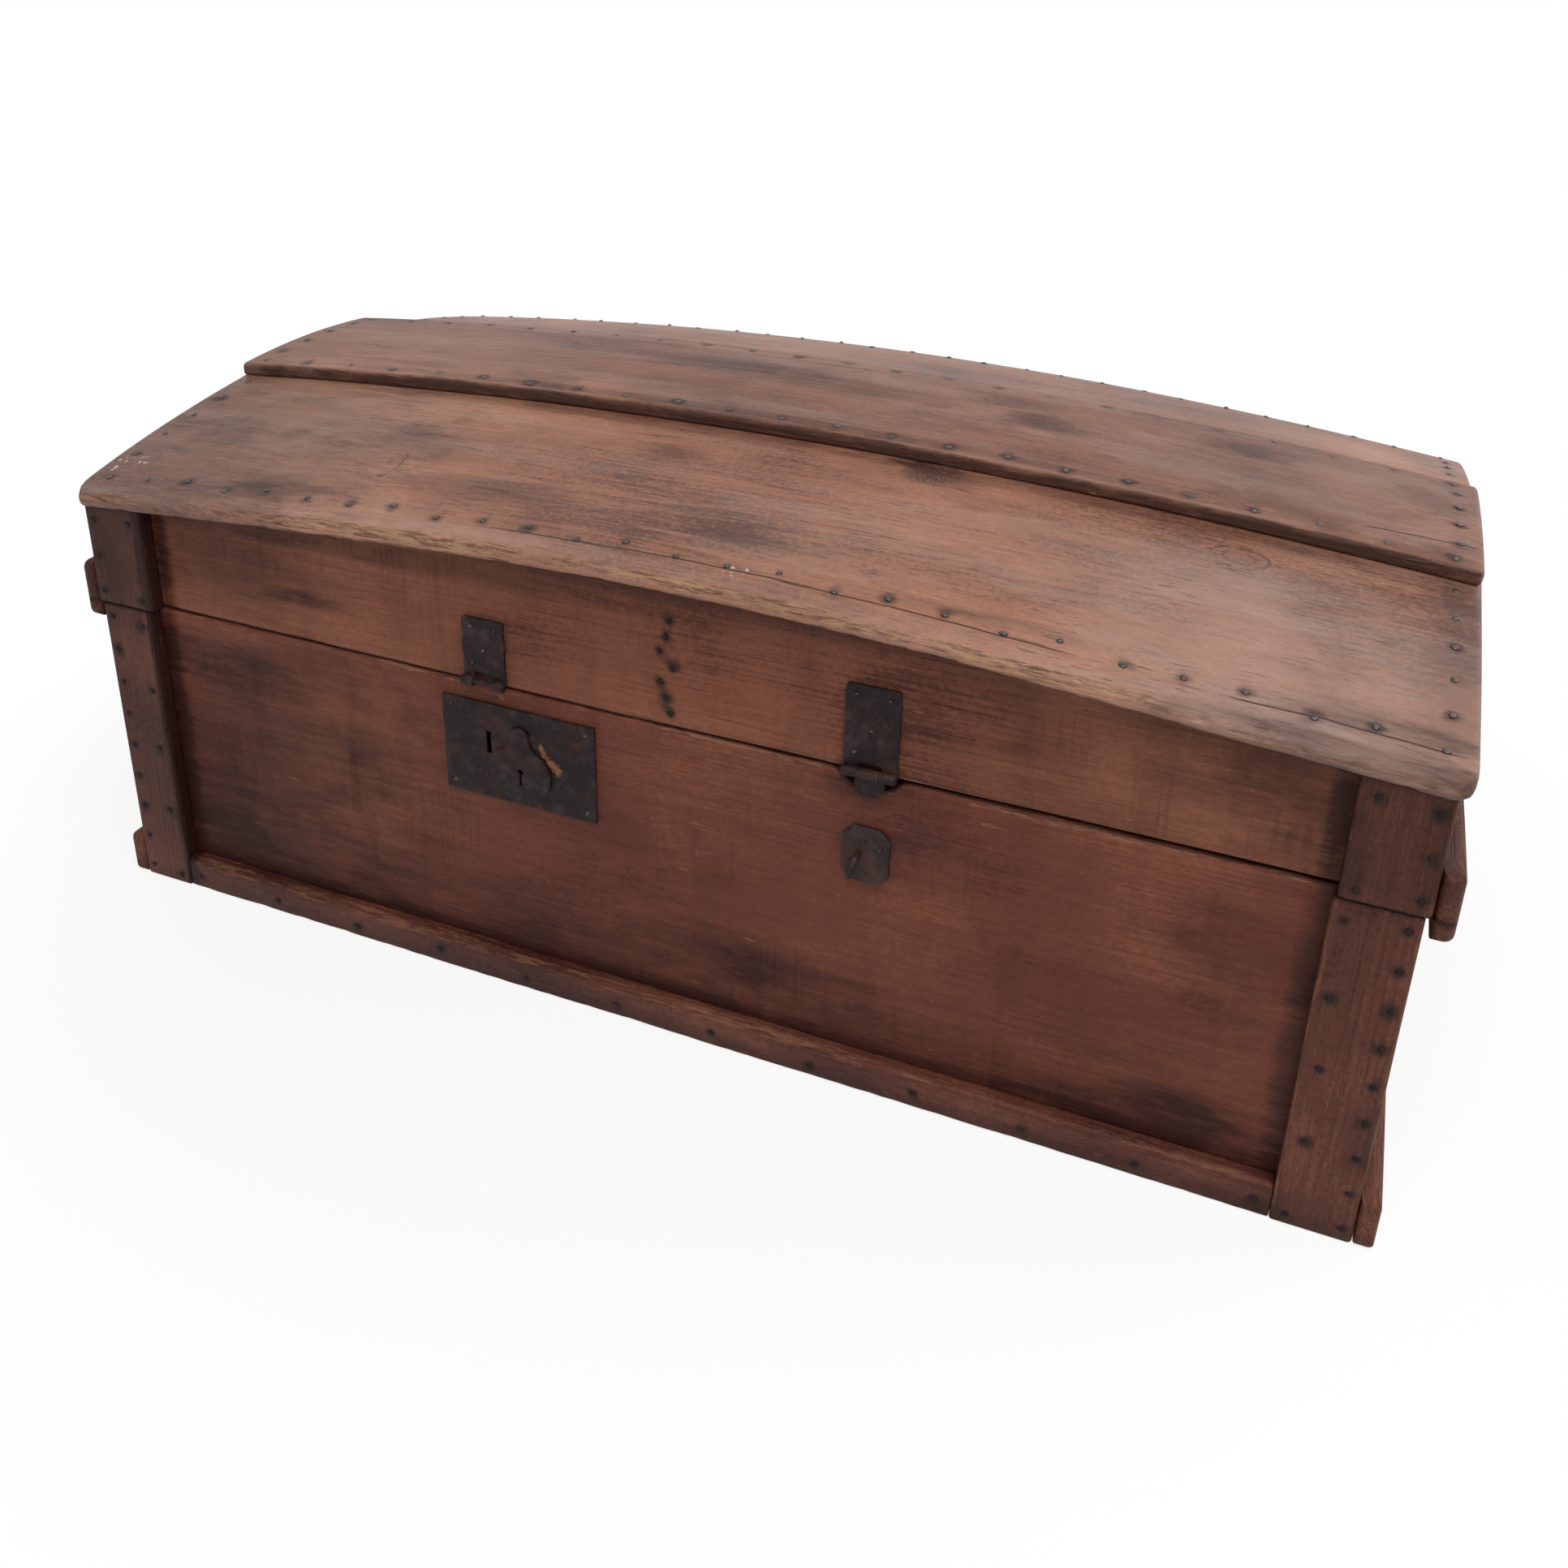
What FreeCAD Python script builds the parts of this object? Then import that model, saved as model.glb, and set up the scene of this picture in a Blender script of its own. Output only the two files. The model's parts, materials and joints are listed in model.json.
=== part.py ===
"""Dome-topped travelling trunk of nailed pine boards, with iron lock, hasps and hinges.

Millimetres.  X runs along the trunk, Y from front to back and Z up.  The origin is on the
ground, under the middle of the trunk.
"""
import FreeCAD, Part
import math
import os

import Sketcher

# Driving sizes

SIZES = {
    # Carcass boards
    "carcass_length": 1100,
    "carcass_depth": 588,
    "split_height": 288,
    "wall_thick": 18,
    "floor_thick": 14,
    "floor_clear": 5,
    "floor_gap": 1,
    # Battens on the front corners, and the frame round the foot
    "batten_thick": 14,
    "left_batten_width": 52,
    "right_batten_width": 59,
    "batten_round": 2.5,
    "rail_height": 31,
    "rail_thick": 13,
    "rail_round": 5,
    "foot_cleat_thick": 15,
    "foot_cleat_height": 42,
    "foot_cleat_round": 6,
    # Lid walls
    "lid_gap": 0.6,
    "lid_side_over": 3.5,
    "lid_batten_width": 60,
    "eave_height": 91.5,
    "lid_cleat_thick": 16,
    "lid_cleat_height": 54,
    "lid_cleat_hang": 17,
    "lid_cleat_round": 7,
    "rib_thick": 24,
    "rib_offset": -5,
    "rib_foot": 40,
    "rib_arch": 112,
    # Boards of the domed top
    "top_thick": 14.2,
    "top_end_over": 9,
    "nose_over": 5,
    "nose_round": 6,
    "nose_underside_bevel": 3,
    "roof_slope": 0.187,
    "front_crown": 24,
    "back_crown": 34,
    "cap_width": 190,
    "cap_lap": 28,
    "cap_edge": 12,
    "cap_bevel": 3,
    "cap_camber": 5,
    "heel_gap": 0.5,
    # Strap hinges on the back
    "hinge_offset": 330,
    "hinge_width": 44,
    "hinge_middle": 18,
    "hinge_lower_height": 74,
    "hinge_upper_height": 62,
    "hinge_thick": 2.2,
    "hinge_clip": 9,
    "barrel_radius": 5.5,
    "hinge_pin_radius": 2.5,
    "hinge_pin_head": 3.9,
    # Hasps on the lid front
    "left_hasp_offset": -166,
    "left_hasp_width": 38,
    "left_hasp_height": 56,
    "right_hasp_offset": 163,
    "right_hasp_width": 42,
    "right_hasp_height": 72,
    "hasp_thick": 2,
    "hasp_middle": 17,
    "hasp_barrel_radius": 4.2,
    "hasp_barrel_drop": 1.5,
    "hasp_slot_height": 3,
    "hasp_pin_radius": 1.8,
    "hasp_pin_head": 2.8,
    "tongue_width": 24,
    "tongue_length": 19,
    "tongue_round": 8,
    "notch_width": 54,
    "notch_depth": 14,
    # Padlock staple on the carcass front
    "staple_drop": 70,
    "staple_plate_width": 38,
    "staple_plate_height": 50,
    "staple_plate_thick": 2,
    "staple_plate_clip": 9,
    "hook_radius": 2.2,
    "hook_reach": 3.5,
    "hook_bend": 4.5,
    "hook_drop": 14,
    "hook_tilt": 14,
    # Lock
    "lock_offset": -138,
    "lock_drop": 17,
    "lock_width": 141,
    "lock_plate_height": 89,
    "lock_plate_thick": 2,
    "hasp_hole_width": 5,
    "hasp_hole_height": 21,
    "hasp_hole_rise": 8,
    "key_shift": 2,
    "key_drop": 12,
    "key_round": 2.6,
    "key_slit": 2,
    "key_length": 13,
    "cover_rise": 20.5,
    "cover_top_radius": 9,
    "cover_radius": 28,
    "cover_length": 34,
    "cover_neck": 16,
    "cover_shoulder": 18,
    "cover_thick": 2,
    "rivet_radius": 2,
    "rivet_head_radius": 4.5,
    "rivet_head_thick": 1.3,
    "case_width": 90,
    "case_height": 62,
    "case_depth": 13,
    "case_wall": 1.5,
    "bolt_length": 54,
    "bolt_height": 14,
    "bolt_thick": 5,
    "bolt_tip_shift": 8,
    "bolt_notch": 9,
    "bolt_notch_depth": 3,
    "guide_thick": 2,
    "keeper_width": 10,
    "keeper_shift": 18,
    "key_pin_radius": 1.5,
    # Nails
    "nail_head": 8,
    "nail_rise": 1.6,
    "nail_shank": 3,
    "nail_length": 28,
    "long_nail_length": 45,
    "short_nail_length": 21,
    "tack_head": 6,
    "tack_length": 13,
    "nail_wander": 4,
    "edge_spacing": 42,
    "cap_spacing": 50,
    "end_spacing": 33,
    "batten_spacing": 33,
    "foot_spacing": 85,
    "plate_nail_inset": 8,
    # Clearances
    "running_clear": 0.05,
    "slide_clear": 0.3,
    "let_in_clear": 0.5,
}

os.makedirs("parts", exist_ok=True)
doc = FreeCAD.newDocument("trunk")
sheet = doc.addObject("Spreadsheet::Sheet", "sizes")
for row, (word, number) in enumerate(SIZES.items(), start=1):
    sheet.set(f"A{row}", word)
    sheet.set(f"B{row}", str(number))
    sheet.setAlias(f"B{row}", word)
doc.recompute()

# Shared places, written as expressions on the sheet

END_X = "(sizes.carcass_length / 2)"
LID_END_X = f"({END_X} + sizes.lid_side_over)"
TOP_END_X = f"({LID_END_X} + sizes.top_end_over)"
FACE_Y = "(sizes.carcass_depth / 2)"
INNER_Y = f"({FACE_Y} - sizes.wall_thick)"
BATTEN_Y = f"({FACE_Y} + sizes.batten_thick)"
NOSE_Y = f"({BATTEN_Y} + sizes.nose_over)"
WALL_Z = "(sizes.floor_clear + sizes.floor_thick)"
LID_Z = "(sizes.split_height + sizes.lid_gap)"
EAVE_Z = f"({LID_Z} + sizes.eave_height)"
WALL_HEIGHT = f"(sizes.split_height - {WALL_Z})"
LOCK_Z = "(sizes.split_height - sizes.lock_drop - sizes.lock_plate_height / 2)"
STAPLE_Z = "(sizes.split_height - sizes.staple_drop)"
CAP_Y = "(sizes.cap_width / 2)"
HEEL_Y = f"({CAP_Y} - sizes.cap_lap)"
BLANK_HEIGHT = f"(sizes.eave_height + {BATTEN_Y} * sizes.roof_slope + 2 * sizes.back_crown)"


def value(expression):
    """Return an expression's number at the sheet's present sizes."""
    return float(sheet.evalExpression(str(expression)))


def half_chord_radius(half_chord, rise):
    """Return the radius of an arc of a given half chord and rise, as an expression."""
    return f"(({half_chord}) ^ 2 + ({rise}) ^ 2) / (2 * ({rise}))"


def place(piece, x="0", y="0", z="0"):
    """Bind a piece's place to the sheet."""
    for axis, expression in zip("xyz", (x, y, z)):
        piece.setExpression(f"Placement.Base.{axis}", str(expression))
    return piece


def new_body(name):
    """Start a body under a node's name."""
    body = doc.addObject("PartDesign::Body", name)
    body.Label = name
    return body


def new_sketch(body, name, role, offset="0"):
    """Add a sketch on one of the body's own planes, moved along the plane's normal."""
    sketch = body.newObject("Sketcher::SketchObject", f"{body.Name}_{name}")
    support = next(plane for plane in body.Origin.OriginFeatures if plane.Role == role)
    sketch.AttachmentSupport = [(support, "")]
    sketch.MapMode = "FlatFace"
    sketch.setExpression("AttachmentOffset.Base.z", str(offset))
    return sketch


def bind(sketch, index, name, expression):
    """Name a sketch constraint and drive it from the sheet."""
    sketch.renameConstraint(index, name)
    sketch.setExpression(f"Constraints.{name}", str(expression))


def arc_between(start, end, radius, turn, major):
    """Return an arc from start to end; turn is 1 for anticlockwise and -1 for clockwise."""
    chord = end - start
    middle = (start + end) / 2
    left = FreeCAD.Vector(-chord.y, chord.x, 0).normalize()
    reach = math.sqrt(max(radius ** 2 - chord.Length ** 2 / 4, 0))
    centre = middle + left * reach * turn * (-1 if major else 1)
    first, last = (start, end) if turn > 0 else (end, start)
    angles = [math.atan2(point.y - centre.y, point.x - centre.x) for point in (first, last)]
    circle = Part.Circle(centre, FreeCAD.Vector(0, 0, 1), radius)
    return Part.ArcOfCircle(circle, *angles)


def add_outline(sketch, points, arcs=None):
    """Add a closed outline of (x, y) expressions.

    arcs maps the number of an edge to (radius, turn) or (radius, turn, "major").
    """
    arcs = arcs or {}
    first = sketch.GeometryCount
    count = len(points)
    corners = [FreeCAD.Vector(value(x), value(y), 0) for x, y in points]
    edges = []
    for number in range(count):
        start, end = corners[number], corners[(number + 1) % count]
        if number in arcs:
            radius, turn, *major = arcs[number]
            edges.append(arc_between(start, end, value(radius), turn, bool(major)))
        else:
            edges.append(Part.LineSegment(start, end))
    sketch.addGeometry(edges, False)

    def ends(number):
        clockwise = number in arcs and arcs[number][1] < 0
        return (2, 1) if clockwise else (1, 2)

    for number in range(count):
        following = (number + 1) % count
        sketch.addConstraint(Sketcher.Constraint(
            "Coincident", first + number, ends(number)[1], first + following, ends(following)[0]))
    for number, (x, y) in enumerate(points):
        corner = first + number
        at = ends(number)[0]
        for kind, letter, expression in (("DistanceX", "x", x), ("DistanceY", "y", y)):
            index = sketch.addConstraint(
                Sketcher.Constraint(kind, -1, 1, corner, at, value(expression)))
            bind(sketch, index, f"{letter}_{corner}", expression)
        if number in arcs:
            radius = arcs[number][0]
            index = sketch.addConstraint(Sketcher.Constraint("Radius", corner, value(radius)))
            bind(sketch, index, f"radius_{corner}", radius)
    return sketch


def add_circle(sketch, x, y, radius):
    """Add a circle, its centre and radius bound to the sheet."""
    centre = FreeCAD.Vector(value(x), value(y), 0)
    number = sketch.addGeometry(
        Part.Circle(centre, FreeCAD.Vector(0, 0, 1), value(radius)), False)
    for kind, letter, expression in (("DistanceX", "x", x), ("DistanceY", "y", y)):
        index = sketch.addConstraint(
            Sketcher.Constraint(kind, -1, 1, number, 3, value(expression)))
        bind(sketch, index, f"{letter}_{number}", expression)
    index = sketch.addConstraint(Sketcher.Constraint("Radius", number, value(radius)))
    bind(sketch, index, f"radius_{number}", radius)
    return sketch


def rectangle(x_low, x_high, y_low, y_high):
    """Return the corners of a rectangle, as expressions."""
    return [(x_low, y_low), (x_high, y_low), (x_high, y_high), (x_low, y_high)]


def pad(body, sketch, length, reverse=False):
    """Raise a sketch into a solid."""
    feature = body.newObject("PartDesign::Pad", f"{sketch.Name}_pad")
    feature.Profile = sketch
    feature.setExpression("Length", str(length))
    feature.Reversed = reverse
    return feature


def pocket(body, sketch, depth, reverse=False):
    """Cut a sketch into the body."""
    feature = body.newObject("PartDesign::Pocket", f"{sketch.Name}_pocket")
    feature.Profile = sketch
    feature.setExpression("Length", str(depth))
    feature.Reversed = reverse
    return feature


def board(name, length, width, height, x, y, z):
    """Return a plain sawn board."""
    piece = doc.addObject("Part::Box", name)
    piece.Label = name
    for side, expression in (("Length", length), ("Width", width), ("Height", height)):
        piece.setExpression(side, expression)
    return place(piece, x, y, z)


nodes = []


def keep(*pieces):
    """List pieces that are written out, one file for each."""
    nodes.extend(pieces)
    return pieces[0]


# Carcass: four walls and a floor of three boards nailed up under them

HASP_AXIS_Z = f"({LID_Z} + sizes.hasp_barrel_radius - sizes.hasp_barrel_drop)"
CASE_X = "(sizes.lock_offset + sizes.key_shift)"

front = new_body("carcass_front_board")
notch_low = "(sizes.right_hasp_offset - sizes.notch_width / 2)"
notch_high = "(sizes.right_hasp_offset + sizes.notch_width / 2)"
front_outline = new_sketch(front, "outline", "XZ_Plane", INNER_Y)
add_outline(
    front_outline,
    [(f"-{END_X}", WALL_Z), (END_X, WALL_Z), (END_X, "sizes.split_height"),
     (notch_high, "sizes.split_height"), (notch_low, "sizes.split_height"),
     (f"-{END_X}", "sizes.split_height")],
    {3: (half_chord_radius("sizes.notch_width / 2", "sizes.notch_depth"), -1)})
pad(front, front_outline, "sizes.wall_thick")
mortise = new_sketch(front, "mortise", "XZ_Plane", FACE_Y)
mortise_half_width = "(sizes.case_width / 2 + sizes.let_in_clear)"
mortise_half_height = "(sizes.case_height / 2 + sizes.let_in_clear)"
add_outline(mortise, rectangle(
    f"{CASE_X} - {mortise_half_width}", f"{CASE_X} + {mortise_half_width}",
    f"{LOCK_Z} - {mortise_half_height}", f"{LOCK_Z} + {mortise_half_height}"))
pocket(front, mortise, "sizes.case_depth + sizes.let_in_clear")
keep(front)

keep(board("carcass_back_board", "sizes.carcass_length", "sizes.wall_thick", WALL_HEIGHT,
           f"-{END_X}", INNER_Y, WALL_Z))
for side, x in (("left", f"-{END_X}"), ("right", f"{END_X} - sizes.wall_thick")):
    keep(board(f"carcass_{side}_end", "sizes.wall_thick", f"2 * {INNER_Y}", WALL_HEIGHT,
               x, f"-{INNER_Y}", WALL_Z))

FLOOR_PLACES = ("front", "middle", "rear")
floor_width = f"((sizes.carcass_depth - 2 * sizes.floor_gap) / {len(FLOOR_PLACES)})"
for number, where in enumerate(FLOOR_PLACES):
    keep(board(f"floor_board_{where}", "sizes.carcass_length", floor_width, "sizes.floor_thick",
               f"-{END_X}", f"-{FACE_Y} + {number} * ({floor_width} + sizes.floor_gap)",
               "sizes.floor_clear"))


# Battens over the front corners, with eased front arrises

def batten(name, width, height):
    """Return an upright batten whose back lies on Y = 0 and whose left edge is on X = 0."""
    body = new_body(name)
    ease = "sizes.batten_round"
    face = "-sizes.batten_thick"
    section = new_sketch(body, "section", "XY_Plane")
    add_outline(
        section,
        [("0", "0"), ("0", f"{face} + {ease}"), (ease, face), (f"{width} - {ease}", face),
         (width, f"{face} + {ease}"), (width, "0")],
        {1: (ease, 1), 3: (ease, 1)})
    pad(body, section, height)
    return body


for side, x in (("left", f"-{END_X}"), ("right", f"{END_X} - sizes.right_batten_width")):
    piece = batten(f"front_{side}_batten", f"sizes.{side}_batten_width", "sizes.split_height")
    keep(place(piece, x, f"-{FACE_Y}"))


# Foot frame: round-topped rails front and back, cleats on the ends

def foot_rail(name, outward, length):
    """Return a rail along X; outward is -1 where its round arris faces the front."""
    body = new_body(name)
    section = new_sketch(body, "section", "YZ_Plane")
    ease = "sizes.rail_round"
    face = f"{outward} * sizes.rail_thick"
    add_outline(
        section,
        [("0", "0"), ("0", "sizes.rail_height"),
         (f"{outward} * (sizes.rail_thick - {ease})", "sizes.rail_height"),
         (face, f"sizes.rail_height - {ease}"), (face, "0")],
        {2: (ease, -outward)})
    pad(body, section, length)
    return body


front_rail_length = "sizes.carcass_length - sizes.left_batten_width - sizes.right_batten_width"
keep(place(foot_rail("front_foot_rail", -1, front_rail_length),
           f"-{END_X} + sizes.left_batten_width", f"-{FACE_Y}"))
keep(place(foot_rail("rear_foot_rail", 1, "sizes.carcass_length"), f"-{END_X}", FACE_Y))


def end_cleat(name, outward, thick, height, ease, length):
    """Return a cleat along Y with rounded outer arrises; outward is -1 on the left end."""
    body = new_body(name)
    section = new_sketch(body, "section", "XZ_Plane")
    face = f"{outward} * {thick}"
    flat = f"{outward} * ({thick} - {ease})"
    add_outline(
        section,
        [("0", "0"), (flat, "0"), (face, ease), (face, f"{height} - {ease}"),
         (flat, height), ("0", height)],
        {1: (ease, outward), 3: (ease, outward)})
    pad(body, section, length, reverse=True)
    return body


foot_cleat_length = f"({BATTEN_Y} + {FACE_Y} + sizes.rail_thick)"
lid_cleat_length = f"({BATTEN_Y} + {FACE_Y})"
for side, outward in (("left", -1), ("right", 1)):
    foot = end_cleat(f"{side}_foot_cleat", outward, "sizes.foot_cleat_thick",
                     "sizes.foot_cleat_height", "sizes.foot_cleat_round", foot_cleat_length)
    keep(place(foot, f"{outward} * {END_X}", f"-{BATTEN_Y}"))
    lid = end_cleat(f"lid_{side}_cleat", outward, "sizes.lid_cleat_thick",
                    "sizes.lid_cleat_height", "sizes.lid_cleat_round", lid_cleat_length)
    keep(place(lid, f"{outward} * {LID_END_X}", f"-{BATTEN_Y}",
               "sizes.split_height - sizes.lid_cleat_hang"))


# Domed top: boards sprung lengthwise over the lid walls, so each is a loft of its two ends
# and its crowned middle

def roof_point(y, rise="0", slope_y=None, crowned=False):
    """Return a point a given rise above the underside of the sloping boards.

    slope_y is the Y at which the slope is read, where that isn't the point's own Y.
    """
    slope_y = y if slope_y is None else slope_y
    height = f"{EAVE_Z} + sizes.roof_slope * ({BATTEN_Y} - abs({slope_y})) + {rise}"
    if crowned:
        share = f"(({y}) + {NOSE_Y}) / (2 * {NOSE_Y})"
        height += f" + sizes.front_crown + (sizes.back_crown - sizes.front_crown) * {share}"
    return y, height


def sprung_board(name, section):
    """Loft a section from the left end over the crowned middle to the right end."""
    body = new_body(name)
    sketches = []
    stations = (("left", f"-{TOP_END_X}", False), ("middle", "0", True), ("right", TOP_END_X, False))
    for where, x, crowned in stations:
        sketch = new_sketch(body, where, "YZ_Plane", x)
        points, arcs = section(crowned)
        sketches.append(add_outline(sketch, points, arcs))
    loft = body.newObject("PartDesign::AdditiveLoft", f"{name}_loft")
    loft.Profile = sketches[0]
    loft.Sections = [(sketch, "") for sketch in sketches[1:]]
    return body


def slope_section(outward):
    """Return the section of a sloping board; outward is -1 for the front one."""
    top = "sizes.top_thick"
    upper = "sizes.nose_round"
    lower = "sizes.nose_underside_bevel"
    nose = f"{outward} * {NOSE_Y}"
    heel = f"{outward} * {HEEL_Y}"

    def section(crowned):
        points = [
            roof_point(f"{outward} * ({NOSE_Y} - {lower})", crowned=crowned),
            roof_point(heel, crowned=crowned),
            roof_point(heel, top, crowned=crowned),
            roof_point(f"{outward} * ({NOSE_Y} - {upper})", top, crowned=crowned),
            roof_point(nose, f"{top} - {upper}", crowned=crowned),
            roof_point(nose, lower, crowned=crowned),
        ]
        return points, {3: (f"1.1 * {upper}", -outward)}

    return section


def cap_section(crowned):
    """Return the section of the cap board, which laps over both sloping boards."""
    top = "sizes.top_thick"
    ease = "sizes.cap_bevel"
    edge = f"{top} + sizes.cap_edge"
    points = [
        roof_point(f"-{CAP_Y}", top, crowned=crowned),
        roof_point(f"-{HEEL_Y}", top, crowned=crowned),
        roof_point(HEEL_Y, top, crowned=crowned),
        roof_point(CAP_Y, top, crowned=crowned),
        roof_point(CAP_Y, f"{edge} - {ease}", crowned=crowned),
        roof_point(f"{CAP_Y} - {ease}", edge, CAP_Y, crowned),
        roof_point(f"{ease} - {CAP_Y}", edge, CAP_Y, crowned),
        roof_point(f"-{CAP_Y}", f"{edge} - {ease}", crowned=crowned),
    ]
    camber = half_chord_radius(f"{CAP_Y} - {ease}", "sizes.cap_camber")
    return points, {5: (camber, 1)}


def under_roof_section(crowned):
    """Return the space above the lid walls, by which their tops are trimmed."""
    far = f"({NOSE_Y} + sizes.top_thick)"
    high = "2 * sizes.eave_height"
    tongue = f"({HEEL_Y} - sizes.heel_gap)"
    points = [
        roof_point(f"-{far}", crowned=crowned),
        roof_point(f"-{tongue}", crowned=crowned),
        roof_point(f"-{tongue}", "sizes.top_thick", HEEL_Y, crowned),
        roof_point(tongue, "sizes.top_thick", HEEL_Y, crowned),
        roof_point(tongue, crowned=crowned),
        roof_point(far, crowned=crowned),
        roof_point(far, high, crowned=crowned),
        roof_point(f"-{far}", high, crowned=crowned),
    ]
    return points, {}


keep(sprung_board("top_front_board", slope_section(-1)))
keep(sprung_board("top_rear_board", slope_section(1)))
keep(sprung_board("top_cap_board", cap_section))
under_roof = sprung_board("under_roof", under_roof_section)


# Lid walls, trimmed to the underside of the top boards

def trimmed(name, blank):
    """Cut a wall's top to the sprung boards that lie on it."""
    blank.Label = f"{name}_blank"
    piece = doc.addObject("Part::Cut", name)
    piece.Label = name
    piece.Base = blank
    piece.Tool = under_roof
    return keep(piece)


for side, y in (("front", f"-{FACE_Y}"), ("back", INNER_Y)):
    trimmed(f"lid_{side}_board",
            board(f"lid_{side}_blank", f"2 * {LID_END_X}", "sizes.wall_thick", BLANK_HEIGHT,
                  f"-{LID_END_X}", y, LID_Z))
for side, x in (("left", f"-{LID_END_X}"), ("right", f"{LID_END_X} - sizes.wall_thick")):
    trimmed(f"lid_{side}_end",
            board(f"lid_{side}_end_blank", "sizes.wall_thick", f"2 * {INNER_Y}", BLANK_HEIGHT,
                  x, f"-{INNER_Y}", LID_Z))
for side, x in (("left", f"-{LID_END_X}"), ("right", f"{LID_END_X} - sizes.lid_batten_width")):
    blank = batten(f"lid_{side}_batten_blank", "sizes.lid_batten_width", BLANK_HEIGHT)
    trimmed(f"lid_{side}_batten", place(blank, x, f"-{FACE_Y}", LID_Z))

rib = new_body("lid_rib_blank")
rib_section = new_sketch(rib, "section", "YZ_Plane")
rib_span = f"({INNER_Y} - sizes.rib_foot)"
add_outline(
    rib_section,
    [(f"-{INNER_Y}", "0"), (f"-{rib_span}", "0"), (rib_span, "0"), (INNER_Y, "0"),
     (INNER_Y, BLANK_HEIGHT), (f"-{INNER_Y}", BLANK_HEIGHT)],
    {1: (half_chord_radius(rib_span, "sizes.rib_arch"), -1)})
pad(rib, rib_section, "sizes.rib_thick")
trimmed("lid_rib", place(rib, "sizes.rib_offset - sizes.rib_thick / 2", "0", LID_Z))


# Iron leaves with rolled knuckles, shared by the hinges and the hasps

def pin(name, radius, head_radius, length):
    """Return a pin along X with a peened head on each end."""
    body = new_body(name)
    half = f"({length} / 2 + sizes.running_clear)"
    tip = f"({half} + {radius} / 2)"
    section = new_sketch(body, "section", "XY_Plane")
    add_outline(section, [
        (f"-{tip}", "0"), (tip, "0"), (tip, radius), (half, head_radius), (half, radius),
        (f"-{half}", radius), (f"-{half}", head_radius), (f"-{tip}", radius)])
    turned = body.newObject("PartDesign::Revolution", f"{name}_turned")
    turned.Profile = section
    turned.ReferenceAxis = (section, ["H_Axis"])
    turned.Angle = 360
    return body


def knuckles(body, axis_y, radius, pin_radius, spans):
    """Roll knuckles round the pin's axis, at Z = 0, over spans of X."""
    for number, (low, high) in enumerate(spans):
        ring = new_sketch(body, f"knuckle{number}", "YZ_Plane", low)
        add_circle(ring, axis_y, "0", radius)
        add_circle(ring, axis_y, "0", f"{pin_radius} + sizes.running_clear")
        pad(body, ring, f"({high}) - ({low})")


def leaf_outline(width, middle, root, far, clip, has_middle):
    """Return a leaf's outline: far and root are heights from the pin, on the leaf's side."""
    half = f"{width} / 2"
    inner = f"({middle} / 2 + sizes.slide_clear)" if not has_middle else f"{middle} / 2"
    sign = "-" if value(far) < 0 else ""
    cut = f"{far} - {sign}{clip}"
    outer = [(half, cut), (f"{half} - {clip}", far), (f"{clip} - {half}", far), (f"-{half}", cut)]
    if has_middle:
        return outer + [(f"-{half}", root), (f"-{inner}", root), (f"-{inner}", "0"),
                        (inner, "0"), (inner, root), (half, root)]
    return outer + [(f"-{half}", "0"), (f"-{inner}", "0"), (f"-{inner}", root),
                    (inner, root), (inner, "0"), (half, "0")]


# Strap hinges on the back, their pins just behind the back board at the split

HINGE_REACH = "(sizes.barrel_radius + sizes.slide_clear)"
HINGE_Z = "(sizes.split_height + sizes.lid_gap / 2)"
hinge_half = "sizes.hinge_width / 2"
middle_half = "sizes.hinge_middle / 2"
hinge_root = "(sizes.barrel_radius + 2 * sizes.slide_clear)"
for side, outward in (("left", -1), ("right", 1)):
    x = f"{outward} * sizes.hinge_offset"
    outer_start = f"({middle_half} + sizes.slide_clear)"
    for level, far, root, has_middle, spans in (
            ("lower", "-sizes.hinge_lower_height", f"-{hinge_root}", False,
             [(f"-{hinge_half}", f"-{outer_start}"), (outer_start, hinge_half)]),
            ("upper", "sizes.hinge_upper_height", hinge_root, True,
             [(f"-{middle_half}", middle_half)])):
        leaf = new_body(f"{side}_hinge_{level}_leaf")
        plate = new_sketch(leaf, "plate", "XZ_Plane")
        add_outline(plate, leaf_outline("sizes.hinge_width", "sizes.hinge_middle", root, far,
                                        "sizes.hinge_clip", has_middle))
        pad(leaf, plate, "sizes.hinge_thick", reverse=True)
        knuckles(leaf, HINGE_REACH, "sizes.barrel_radius", "sizes.hinge_pin_radius", spans)
        keep(place(leaf, x, FACE_Y, HINGE_Z))
    rod = pin(f"{side}_hinge_pin", "sizes.hinge_pin_radius", "sizes.hinge_pin_head",
              "sizes.hinge_width")
    keep(place(rod, x, f"{FACE_Y} + {HINGE_REACH}", HINGE_Z))


# Hasps on the lid front: the left one has lost its swinging leaf, the right keeps a tongue

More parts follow.
